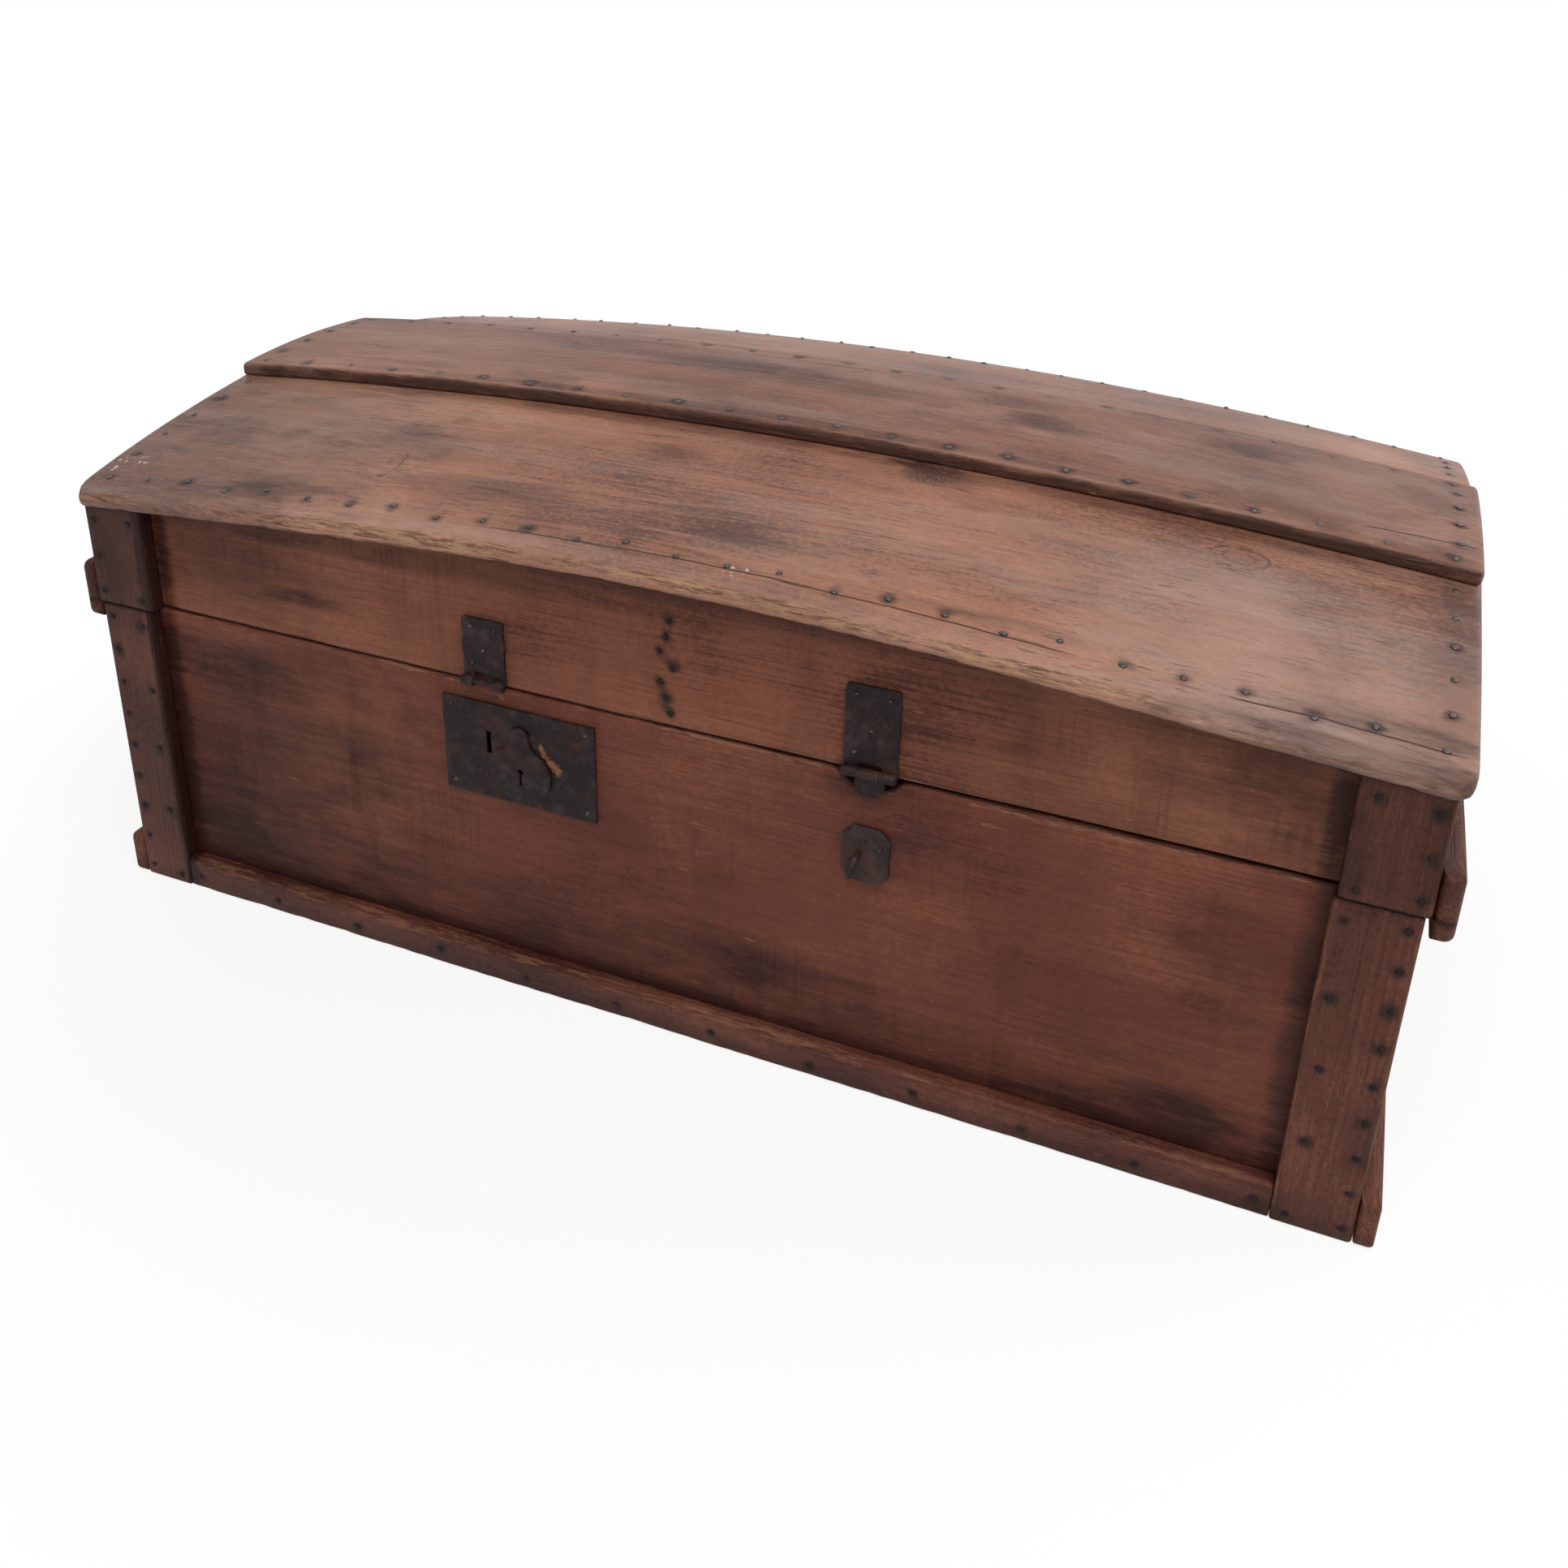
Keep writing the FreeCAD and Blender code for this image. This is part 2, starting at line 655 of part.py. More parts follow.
HASP_REACH = "(sizes.hasp_barrel_radius + sizes.slide_clear)"
hasp_root = "(sizes.hasp_barrel_radius + sizes.hasp_slot_height)"
for side in ("left", "right"):
    width = f"sizes.{side}_hasp_width"
    x = f"sizes.{side}_hasp_offset"
    leaf = new_body(f"{side}_hasp_plate")
    plate = new_sketch(leaf, "plate", "XZ_Plane")
    add_outline(plate, leaf_outline(width, "sizes.hasp_middle", hasp_root,
                                    f"sizes.{side}_hasp_height", "sizes.hasp_thick", False))
    pad(leaf, plate, "sizes.hasp_thick")
    start = "(sizes.hasp_middle / 2 + sizes.slide_clear)"
    knuckles(leaf, f"-{HASP_REACH}", "sizes.hasp_barrel_radius", "sizes.hasp_pin_radius",
             [(f"-{width} / 2", f"-{start}"), (start, f"{width} / 2")])
    keep(place(leaf, x, f"-{FACE_Y}", HASP_AXIS_Z))
    rod = pin(f"{side}_hasp_pin", "sizes.hasp_pin_radius", "sizes.hasp_pin_head", width)
    keep(place(rod, x, f"-{FACE_Y} - {HASP_REACH}", HASP_AXIS_Z))

tongue = new_body("right_hasp_tongue")
tongue_outline = new_sketch(tongue, "outline", "XZ_Plane", "sizes.slide_clear")
neck = "sizes.hasp_middle / 2"
half_tongue = "sizes.tongue_width / 2"
shoulder = "(sizes.hasp_barrel_radius + 2 * sizes.slide_clear)"
tongue_ease = "sizes.tongue_round"
add_outline(
    tongue_outline,
    [(neck, "0"), (f"-{neck}", "0"), (f"-{neck}", f"-{shoulder}"),
     (f"-{half_tongue}", f"-{shoulder}"),
     (f"-{half_tongue}", f"{tongue_ease} - sizes.tongue_length"),
     (f"{tongue_ease} - {half_tongue}", "-sizes.tongue_length"),
     (f"{half_tongue} - {tongue_ease}", "-sizes.tongue_length"),
     (half_tongue, f"{tongue_ease} - sizes.tongue_length"),
     (half_tongue, f"-{shoulder}"), (neck, f"-{shoulder}")],
    {4: (tongue_ease, 1), 6: (tongue_ease, 1)})
pad(tongue, tongue_outline, "sizes.hasp_thick")
knuckles(tongue, f"-{HASP_REACH}", "sizes.hasp_barrel_radius", "sizes.hasp_pin_radius",
         [(f"-{neck}", neck)])
keep(place(tongue, "sizes.right_hasp_offset", f"-{FACE_Y}", HASP_AXIS_Z))


# Padlock staple: a clipped plate with the bent stump of its broken staple

staple = new_body("staple_plate")
staple_outline = new_sketch(staple, "outline", "XZ_Plane")
half_width = "sizes.staple_plate_width / 2"
half_height = "sizes.staple_plate_height / 2"
clip = "sizes.staple_plate_clip"
add_outline(staple_outline, [
    (half_width, f"{half_height} - {clip}"), (f"{half_width} - {clip}", half_height),
    (f"{clip} - {half_width}", half_height), (f"-{half_width}", f"{half_height} - {clip}"),
    (f"-{half_width}", f"{clip} - {half_height}"), (f"{clip} - {half_width}", f"-{half_height}"),
    (f"{half_width} - {clip}", f"-{half_height}"), (half_width, f"{clip} - {half_height}")])
pad(staple, staple_outline, "sizes.staple_plate_thick")
keep(place(staple, "sizes.right_hasp_offset", f"-{FACE_Y}", STAPLE_Z))

hook = new_body("staple_hook")
hook_section = new_sketch(hook, "section", "XZ_Plane")
add_circle(hook_section, "0", "0", "sizes.hook_radius")
hook_path = new_sketch(hook, "path", "YZ_Plane")
bend_y = "-sizes.hook_reach"
low_y = "(-sizes.hook_reach - sizes.hook_bend)"
path_points = [("0", "0"), (bend_y, "0"), (low_y, "-sizes.hook_bend"),
               (low_y, "-sizes.hook_bend - sizes.hook_drop")]
path_corners = [FreeCAD.Vector(value(y), value(z), 0) for y, z in path_points]
hook_path.addGeometry([
    Part.LineSegment(path_corners[0], path_corners[1]),
    arc_between(path_corners[1], path_corners[2], value("sizes.hook_bend"), 1, False),
    Part.LineSegment(path_corners[2], path_corners[3])], False)
hook_path.addConstraint(Sketcher.Constraint("Coincident", 0, 2, 1, 1))
hook_path.addConstraint(Sketcher.Constraint("Coincident", 1, 2, 2, 1))
for number, (edge, at) in enumerate(((0, 1), (0, 2), (2, 1), (2, 2))):
    for kind, letter, expression in zip(("DistanceX", "DistanceY"), "yz", path_points[number]):
        index = hook_path.addConstraint(
            Sketcher.Constraint(kind, -1, 1, edge, at, value(expression)))
        bind(hook_path, index, f"{letter}_{number}", expression)
index = hook_path.addConstraint(Sketcher.Constraint("Radius", 1, value("sizes.hook_bend")))
bind(hook_path, index, "bend", "sizes.hook_bend")
bent = hook.newObject("PartDesign::AdditivePipe", "staple_hook_bent")
bent.Profile = hook_section
bent.Spine = hook_path
hook.Placement.Rotation = FreeCAD.Rotation(FreeCAD.Vector(0, 1, 0), value("sizes.hook_tilt"))
keep(place(hook, f"sizes.right_hasp_offset - {half_width} / 3",
           f"-{FACE_Y} - sizes.staple_plate_thick", STAPLE_Z))


# Lock: nailed plate, swinging keyhole cover on a rivet, and the case let into the board

def add_keyhole(sketch, x, z, clear="0"):
    """Cut a keyhole: a round for the key's stem with a slit below it for the bit."""
    round_radius = f"(sizes.key_round + {clear})"
    half_slit = f"(sizes.key_slit / 2 + {clear})"
    mouth = f"{z} - sqrt({round_radius} ^ 2 - {half_slit} ^ 2)"
    foot = f"{z} - sizes.key_length - {clear}"
    return add_outline(
        sketch,
        [(f"{x} - {half_slit}", foot), (f"{x} + {half_slit}", foot),
         (f"{x} + {half_slit}", mouth), (f"{x} - {half_slit}", mouth)],
        {2: (round_radius, 1, "major")})


# Heights inside the lock are counted from the middle of its plate
KEY_Z = "(-sizes.key_drop)"
COVER_Z = "sizes.cover_rise"
BOLT_Z = "sizes.hasp_hole_rise"
HASP_HOLE_X = "(sizes.left_hasp_offset - sizes.lock_offset)"

lock = new_body("lock_plate")
lock_outline = new_sketch(lock, "outline", "XZ_Plane")
add_outline(lock_outline, rectangle(
    "-sizes.lock_width / 2", "sizes.lock_width / 2",
    "-sizes.lock_plate_height / 2", "sizes.lock_plate_height / 2"))
add_outline(lock_outline, rectangle(
    f"{HASP_HOLE_X} - sizes.hasp_hole_width / 2", f"{HASP_HOLE_X} + sizes.hasp_hole_width / 2",
    f"{BOLT_Z} - sizes.hasp_hole_height / 2", f"{BOLT_Z} + sizes.hasp_hole_height / 2"))
add_keyhole(lock_outline, "sizes.key_shift", KEY_Z, "sizes.let_in_clear")
add_circle(lock_outline, "sizes.key_shift", COVER_Z, "sizes.rivet_radius")
pad(lock, lock_outline, "sizes.lock_plate_thick")
keep(place(lock, "sizes.lock_offset", f"-{FACE_Y}", LOCK_Z))

cover = new_body("keyhole_cover")
cover_outline = new_sketch(cover, "outline", "XZ_Plane", "sizes.lock_plate_thick + sizes.slide_clear")
shoulder_x = "sqrt(sizes.cover_radius ^ 2 - sizes.cover_shoulder ^ 2)"
shoulder_z = "(sizes.cover_shoulder - sizes.cover_length)"
ear_z = "(sizes.cover_top_radius / 4)"
ear_x = f"sqrt(sizes.cover_top_radius ^ 2 - {ear_z} ^ 2)"
add_outline(
    cover_outline,
    [(ear_x, ear_z), (f"-{ear_x}", ear_z),
     (f"-{shoulder_x}", shoulder_z), (shoulder_x, shoulder_z)],
    {0: ("sizes.cover_top_radius", 1), 1: ("sizes.cover_neck", -1),
     2: ("sizes.cover_radius", 1, "major"), 3: ("sizes.cover_neck", -1)})
add_keyhole(cover_outline, "0", f"({KEY_Z} - {COVER_Z})")
add_circle(cover_outline, "0", "0", "sizes.rivet_radius + sizes.running_clear")
pad(cover, cover_outline, "sizes.cover_thick")
keep(place(cover, CASE_X, f"-{FACE_Y}", f"{LOCK_Z} + {COVER_Z}"))

rivet = new_body("cover_rivet")
rivet_section = new_sketch(rivet, "section", "XY_Plane")
rivet_neck = "(-sizes.lock_plate_thick - sizes.cover_thick - 2 * sizes.slide_clear)"
rivet_top = f"({rivet_neck} - sizes.rivet_head_thick)"
add_outline(rivet_section, [
    ("0", "0"), ("0", rivet_top), ("sizes.rivet_head_radius / 2", rivet_top),
    ("sizes.rivet_head_radius", rivet_neck), ("sizes.rivet_radius", rivet_neck),
    ("sizes.rivet_radius", "0")])
rivet_turned = rivet.newObject("PartDesign::Revolution", "cover_rivet_turned")
rivet_turned.Profile = rivet_section
rivet_turned.ReferenceAxis = (rivet_section, ["V_Axis"])
rivet_turned.Angle = 360
keep(place(rivet, CASE_X, f"-{FACE_Y}", f"{LOCK_Z} + {COVER_Z}"))

case = new_body("lock_case")
case_floor = "(-sizes.case_depth)"
tray = new_sketch(case, "tray", "XZ_Plane", case_floor)
add_outline(tray, rectangle("-sizes.case_width / 2", "sizes.case_width / 2",
                            "-sizes.case_height / 2", "sizes.case_height / 2"))
pad(case, tray, "sizes.case_depth")
hollow = new_sketch(case, "hollow", "XZ_Plane")
add_outline(hollow, rectangle("sizes.case_wall - sizes.case_width / 2",
                              "sizes.case_width / 2 - sizes.case_wall",
                              "sizes.case_wall - sizes.case_height / 2",
                              "sizes.case_height / 2 - sizes.case_wall"))
pocket(case, hollow, "sizes.case_depth - sizes.case_wall")
guide_floor = f"({case_floor} + sizes.case_wall)"
guide_height = "(sizes.bolt_thick + 2 * sizes.slide_clear)"
bolt_half = "(sizes.bolt_height / 2 + sizes.slide_clear)"
bolt_tip = f"({HASP_HOLE_X} - sizes.key_shift + sizes.bolt_tip_shift)"
bolt_tail = f"({bolt_tip} + sizes.bolt_length)"
key_reach = "(sizes.bolt_notch / 2 + sizes.case_wall)"
guides = new_sketch(case, "guides", "XZ_Plane", guide_floor)
add_outline(guides, rectangle(bolt_tip, bolt_tail, f"{BOLT_Z} + {bolt_half}",
                              f"{BOLT_Z} + {bolt_half} + sizes.guide_thick"))
for low, high in ((bolt_tip, f"-{key_reach}"), (key_reach, bolt_tail)):
    add_outline(guides, rectangle(low, high, f"{BOLT_Z} - {bolt_half} - sizes.guide_thick",
                                  f"{BOLT_Z} - {bolt_half}"))
pad(case, guides, guide_height)
key_pin = new_sketch(case, "key_pin", "XZ_Plane", guide_floor)
add_circle(key_pin, "0", KEY_Z, "sizes.key_pin_radius")
pad(case, key_pin, "sizes.case_depth - sizes.case_wall")
keep(place(case, CASE_X, f"-{FACE_Y}", LOCK_Z))

bolt = new_body("lock_bolt")
bolt_outline = new_sketch(bolt, "outline", "XZ_Plane", f"{guide_floor} + sizes.slide_clear")
bolt_low = f"({BOLT_Z} - sizes.bolt_height / 2)"
bolt_high = f"({BOLT_Z} + sizes.bolt_height / 2)"
notch_half = "sizes.bolt_notch / 2"
notch_roof = f"{bolt_low} + sizes.bolt_notch_depth"
add_outline(bolt_outline, [
    (bolt_tip, bolt_low), (f"-{notch_half}", bolt_low), (f"-{notch_half}", notch_roof),
    (notch_half, notch_roof), (notch_half, bolt_low), (bolt_tail, bolt_low),
    (bolt_tail, bolt_high), (bolt_tip, bolt_high)])
pad(bolt, bolt_outline, "sizes.bolt_thick")
keep(place(bolt, CASE_X, f"-{FACE_Y}", LOCK_Z))

keeper = new_body("bolt_keeper")
keeper_outline = new_sketch(keeper, "outline", "XZ_Plane", f"{guide_floor} + {guide_height}")
keeper_half = f"({bolt_half} + sizes.guide_thick)"
add_outline(keeper_outline, rectangle(
    "sizes.keeper_shift - sizes.keeper_width / 2", "sizes.keeper_shift + sizes.keeper_width / 2",
    f"{BOLT_Z} - {keeper_half}", f"{BOLT_Z} + {keeper_half}"))
pad(keeper, keeper_outline, "sizes.case_wall")
keep(place(keeper, CASE_X, f"-{FACE_Y}", LOCK_Z))


# Forged nails: a six-sided rose head on a tapered square shank, driven into the boards

def size(word):
    """Return a size from the sheet."""
    return float(sheet.get(word))


def pyramid(sides, radius, tip):
    """Return a pyramid with its base on Z = 0 and its tip on the Z axis."""
    corners = []
    for number in range(sides):
        angle = math.pi * (2 * number + 1) / sides
        corners.append(FreeCAD.Vector(radius * math.cos(angle), radius * math.sin(angle), 0))
    peak = FreeCAD.Vector(0, 0, tip)
    faces = [Part.Face(Part.makePolygon(corners + corners[:1]))]
    for start, end in zip(corners, corners[1:] + corners[:1]):
        faces.append(Part.Face(Part.makePolygon([start, end, peak, start])))
    solid = Part.makeSolid(Part.makeShell(faces))
    return solid if solid.Volume > 0 else solid.reversed()


def nail(head, length):
    """Return a nail whose head sits on Z = 0 and whose shank points down."""
    crown = pyramid(6, head / 2, size("nail_rise"))
    shank = pyramid(4, size("nail_shank") / math.sqrt(2), -length)
    return crown.fuse(shank).removeSplitter()


def driven(name, pattern, spots):
    """Place a nail at each spot, a point and the way its head faces, as one group."""
    shapes = []
    for point, facing in spots:
        copy = pattern.copy()
        turn = FreeCAD.Rotation(FreeCAD.Vector(0, 0, 1), FreeCAD.Vector(*facing))
        copy.Placement = FreeCAD.Placement(FreeCAD.Vector(*point), turn)
        shapes.append(copy)
    group = doc.addObject("Part::Feature", name)
    group.Label = name
    group.Shape = Part.makeCompound(shapes)
    return keep(group)


def row(low, high, spacing):
    """Return evenly spaced places from low to high, about a given spacing apart."""
    steps = max(1, round((high - low) / spacing))
    return [low + (high - low) * number / steps for number in range(steps + 1)]


def wander(number):
    """Return a small hand-set offset for a nail of a row."""
    return size("nail_wander") * math.sin(2.4 * number + 0.7)


def roof_top(x, y):
    """Return the height of the top of the domed lid's boards at a point."""
    ends = value(TOP_END_X)
    nose = value(NOSE_Y)
    crown = size("front_crown") + (size("back_crown") - size("front_crown")) * (y + nose) / (2 * nose)
    lift = crown * (1 - (x / ends) ** 2)
    half_cap = size("cap_width") / 2
    slope_y = max(abs(y), half_cap)
    height = value(EAVE_Z) + size("roof_slope") * (value(BATTEN_Y) - slope_y) + size("top_thick")
    if abs(y) < half_cap:
        flat = half_cap - size("cap_bevel")
        camber = size("cap_camber")
        radius = (flat ** 2 + camber ** 2) / (2 * camber)
        height += size("cap_edge") + camber - radius + math.sqrt(radius ** 2 - min(abs(y), flat) ** 2)
    return height + lift


def on_roof(x, y):
    """Return a nail's spot on the lid's top, facing square out of the board."""
    step = size("nail_rise")
    along = (roof_top(x + step, y) - roof_top(x - step, y)) / (2 * step)
    across = (roof_top(x, y + step) - roof_top(x, y - step)) / (2 * step)
    return (x, y, roof_top(x, y)), (-along, -across, 1)


plain_nail = nail(size("nail_head"), size("nail_length"))
long_nail = nail(size("nail_head"), size("long_nail_length"))
short_nail = nail(size("nail_head"), size("short_nail_length"))
tack = nail(size("tack_head"), size("tack_length"))

END = value(END_X)
LID_END = value(LID_END_X)
FACE = value(FACE_Y)
BATTEN_FACE = value(BATTEN_Y)
WALL_MIDDLE = FACE - size("wall_thick") / 2
END_MIDDLE = size("wall_thick") / 2
MARGIN = size("nail_head") * 1.5
FRONT = (0, -1, 0)
BACK = (0, 1, 0)


def batten_columns(outer, width, outward, low, high):
    """Return staggered spots over a batten: the outer column reaches the end board."""
    spots_out, spots_in = [], []
    for number, z in enumerate(row(low + MARGIN, high - MARGIN, size("batten_spacing"))):
        far = outer - outward * END_MIDDLE
        near = outer - outward * (width - MARGIN + wander(number) / 2)
        spots_out.append(((far, -BATTEN_FACE, z), FRONT))
        if number % 2 == 0:
            spots_in.append(((near, -BATTEN_FACE, z - wander(number)), FRONT))
    return spots_out, spots_in


corner_spots = []
inner_spots = []
for outward, width in ((-1, size("left_batten_width")), (1, size("right_batten_width"))):
    outer, inner = batten_columns(outward * END, width, outward, 0, size("split_height"))
    corner_spots += outer
    inner_spots += inner
driven("batten_corner_nails", long_nail, corner_spots)
driven("batten_nails", plain_nail, inner_spots)

lid_bottom = value(LID_Z)
lid_corner_spots = []
for outward in (-1, 1):
    outer, inner = batten_columns(outward * LID_END, size("lid_batten_width"), outward,
                                  lid_bottom, lid_bottom + size("eave_height"))
    lid_corner_spots += outer + inner
driven("lid_batten_nails", plain_nail, lid_corner_spots)

foot_spots = []
rail_low = MARGIN + size("left_batten_width") - END
rail_high = END - MARGIN - size("right_batten_width")
rail_z = size("floor_clear") + size("floor_thick") / 2
for number, x in enumerate(row(rail_low, rail_high, size("foot_spacing"))):
    foot_spots.append(((x, -FACE - size("rail_thick"), rail_z + wander(number) / 2), FRONT))
for number, x in enumerate(row(MARGIN - END, END - MARGIN, 2 * size("foot_spacing"))):
    foot_spots.append(((x, FACE + size("rail_thick"), rail_z + wander(number) / 2), BACK))
cleat_z = value(WALL_Z) + MARGIN
for outward in (-1, 1):
    for y in row(-value(INNER_Y) + MARGIN, value(INNER_Y) - MARGIN, 1.5 * size("foot_spacing")):
        foot_spots.append(((outward * (END + size("foot_cleat_thick")), y, cleat_z), (outward, 0, 0)))
driven("foot_nails", plain_nail, foot_spots)

floor_spots = []
below = (0, 0, -1)
for outward in (-1, 1):
    for x in row(size("foot_spacing") - END, END - size("foot_spacing"), 2 * size("foot_spacing")):
        floor_spots.append(((x, outward * WALL_MIDDLE, size("floor_clear")), below))
    for across in (-1, 1):
        y = across * value(floor_width) / 4
        floor_spots.append(((outward * (END - END_MIDDLE), y, size("floor_clear")), below))
driven("floor_nails", plain_nail, floor_spots)

back_spots = []
for outward in (-1, 1):
    for z in row(value(WALL_Z) + 2 * MARGIN, size("split_height") - MARGIN, 2 * size("batten_spacing")):
        back_spots.append(((outward * (END - END_MIDDLE), FACE, z), BACK))
driven("back_board_nails", plain_nail, back_spots)

lid_wall_spots = []
for outward in (-1, 1):
    for z in row(lid_bottom + MARGIN, lid_bottom + size("eave_height") - MARGIN, size("batten_spacing")):
        lid_wall_spots.append(((outward * (LID_END - END_MIDDLE), FACE, z), BACK))
for number, z in enumerate(row(lid_bottom + MARGIN, lid_bottom + size("eave_height"), size("tack_length"))):
    lid_wall_spots.append(((size("rib_offset") + 1.5 * wander(number), -FACE, z), FRONT))
    if number % 3 == 0:
        lid_wall_spots.append(((size("rib_offset"), FACE, z), BACK))
driven("lid_wall_nails", plain_nail, lid_wall_spots)

cleat_spots = []
lid_cleat_z = (lid_bottom + size("split_height") - size("lid_cleat_hang") + size("lid_cleat_height")) / 2
for outward in (-1, 1):
    for y in row(-value(INNER_Y) + MARGIN, value(INNER_Y) - MARGIN, 1.5 * size("foot_spacing")):
        spot = (outward * (LID_END + size("lid_cleat_thick")), y, lid_cleat_z)
        cleat_spots.append((spot, (outward, 0, 0)))
driven("lid_cleat_nails", plain_nail, cleat_spots)

edge_spots = []
for outward in (-1, 1):
    for number, x in enumerate(row(MARGIN - LID_END, LID_END - MARGIN, size("edge_spacing"))):
        edge_spots.append(on_roof(x + wander(number) / 2, outward * (WALL_MIDDLE + wander(number))))
driven("top_edge_nails", plain_nail, edge_spots)

end_spots = []
for outward in (-1, 1):
    for slope in (-1, 1):
        for y in row(size("cap_width") / 2 + MARGIN, WALL_MIDDLE - size("end_spacing"), size("end_spacing")):
            end_spots.append(on_roof(outward * (LID_END - END_MIDDLE), slope * y))
    for y in row(-value(HEEL_Y) + MARGIN, value(HEEL_Y) - MARGIN, size("end_spacing")):
        end_spots.append(on_roof(outward * (LID_END - END_MIDDLE), y))
driven("top_end_nails", plain_nail, end_spots)

cap_spots = []
cap_row = (value(CAP_Y) + value(HEEL_Y)) / 2
for outward in (-1, 1):
    for number, x in enumerate(row(MARGIN - LID_END, LID_END - MARGIN, size("cap_spacing"))):
        cap_spots.append(on_roof(x, outward * (cap_row + wander(number) / 2)))
driven("cap_nails", short_nail, cap_spots)

plate_spots = []
inset = size("plate_nail_inset")
lock_face = -FACE - size("lock_plate_thick")
staple_face = -FACE - size("staple_plate_thick")
for across in (-1, 1):
    for up in (-1, 1):
        x = size("lock_offset") + across * (size("lock_width") / 2 - inset)
        z = value(LOCK_Z) + up * (size("lock_plate_height") / 2 - inset)
        plate_spots.append(((x, lock_face, z), FRONT))
    x = size("right_hasp_offset") + across * (size("staple_plate_width") / 2 - inset)
    plate_spots.append(((x, staple_face, value(STAPLE_Z) + across * inset), FRONT))
driven("plate_nails", tack, plate_spots)

hasp_spots = []
hasp_face = -FACE - size("hasp_thick")
axis_z = value(HASP_AXIS_Z)
for side in ("left", "right"):
    middle = size(f"{side}_hasp_offset")
    half = size(f"{side}_hasp_width") / 2
    top_z = axis_z + size(f"{side}_hasp_height")
    for across in (-1, 1):
        hasp_spots.append(((middle + across * (half - inset), hasp_face, top_z - inset), FRONT))
    hasp_spots.append(((middle, hasp_face, (axis_z + top_z) / 2), FRONT))
    hasp_spots.append(((middle - half + inset, hasp_face, axis_z + value(hasp_root) + inset), FRONT))
driven("hasp_nails", tack, hasp_spots)

hinge_face = FACE + size("hinge_thick")
for level, up, reach in (("lower", -1, size("hinge_lower_height")), ("upper", 1, size("hinge_upper_height"))):
    hinge_spots = []
    near = value(hinge_root) + inset
    far = reach - size("hinge_clip") - inset / 2
    for outward in (-1, 1):
        for across in (-1, 1):
            for height in (near, far):
                x = outward * size("hinge_offset") + across * (size("hinge_width") / 2 - inset)
                hinge_spots.append(((x, hinge_face, value(HINGE_Z) + up * height), BACK))
    driven(f"hinge_{level}_nails", tack, hinge_spots)


# Every object and shape is tested before anything is written

doc.recompute()
for item in doc.Objects:
    if {"Invalid", "Error"} & set(item.State):
        raise RuntimeError(f"{item.Label} failed: {item.State}")
for piece in nodes:
    if piece.Shape.isNull() or not piece.Shape.isValid() or not piece.Shape.Solids:
        raise RuntimeError(f"{piece.Label} has no valid solid")
for piece in nodes:
    piece.Shape.exportStep(f"parts/{piece.Label}.step")
print(f"{len(nodes)} nodes, {sum(len(piece.Shape.Solids) for piece in nodes)} solids")
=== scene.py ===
"""The looks of a long wooden trunk: worn stained boards, forged iron fittings and driven nails."""

import json
import math

import bmesh
import bpy
import numpy as np
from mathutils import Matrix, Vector, kdtree, noise


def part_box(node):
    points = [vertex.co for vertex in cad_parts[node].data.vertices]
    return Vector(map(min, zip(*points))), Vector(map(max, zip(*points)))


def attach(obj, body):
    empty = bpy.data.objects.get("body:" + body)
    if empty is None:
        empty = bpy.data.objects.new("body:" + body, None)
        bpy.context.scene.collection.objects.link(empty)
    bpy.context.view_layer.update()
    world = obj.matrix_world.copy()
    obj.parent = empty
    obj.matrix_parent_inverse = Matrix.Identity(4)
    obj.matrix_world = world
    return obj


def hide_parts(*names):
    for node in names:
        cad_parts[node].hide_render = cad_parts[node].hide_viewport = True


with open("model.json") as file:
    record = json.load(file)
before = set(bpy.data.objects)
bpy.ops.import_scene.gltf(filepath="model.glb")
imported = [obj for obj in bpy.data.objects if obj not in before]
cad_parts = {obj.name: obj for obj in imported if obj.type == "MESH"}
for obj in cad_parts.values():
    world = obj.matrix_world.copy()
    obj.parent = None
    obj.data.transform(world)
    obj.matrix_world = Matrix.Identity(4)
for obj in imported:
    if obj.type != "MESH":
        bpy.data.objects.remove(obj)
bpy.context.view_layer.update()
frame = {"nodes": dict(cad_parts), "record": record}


# Floor of the trunk
# Three bare sawn pine boards laid side by side, nailed up into the walls from below.
# They never had a stain, so they have only greyed and gathered dirt.

MERGE = 1e-6
HEAD_HEIGHT = 0.0016


def add(name, data):
    """Add an object to the scene and return it."""
    thing = bpy.data.objects.new(name, data)
    bpy.context.collection.objects.link(thing)
    return thing


def mark(mesh, name, values):
    """Keep a number or a direction for each vertex of a mesh under a name."""
    values = np.asarray(values, np.float32)
    kind, key = ("FLOAT_VECTOR", "vector") if values.ndim > 1 else ("FLOAT", "value")
    mesh.attributes.new(name, kind, "POINT").data.foreach_set(key, values.reshape(-1))


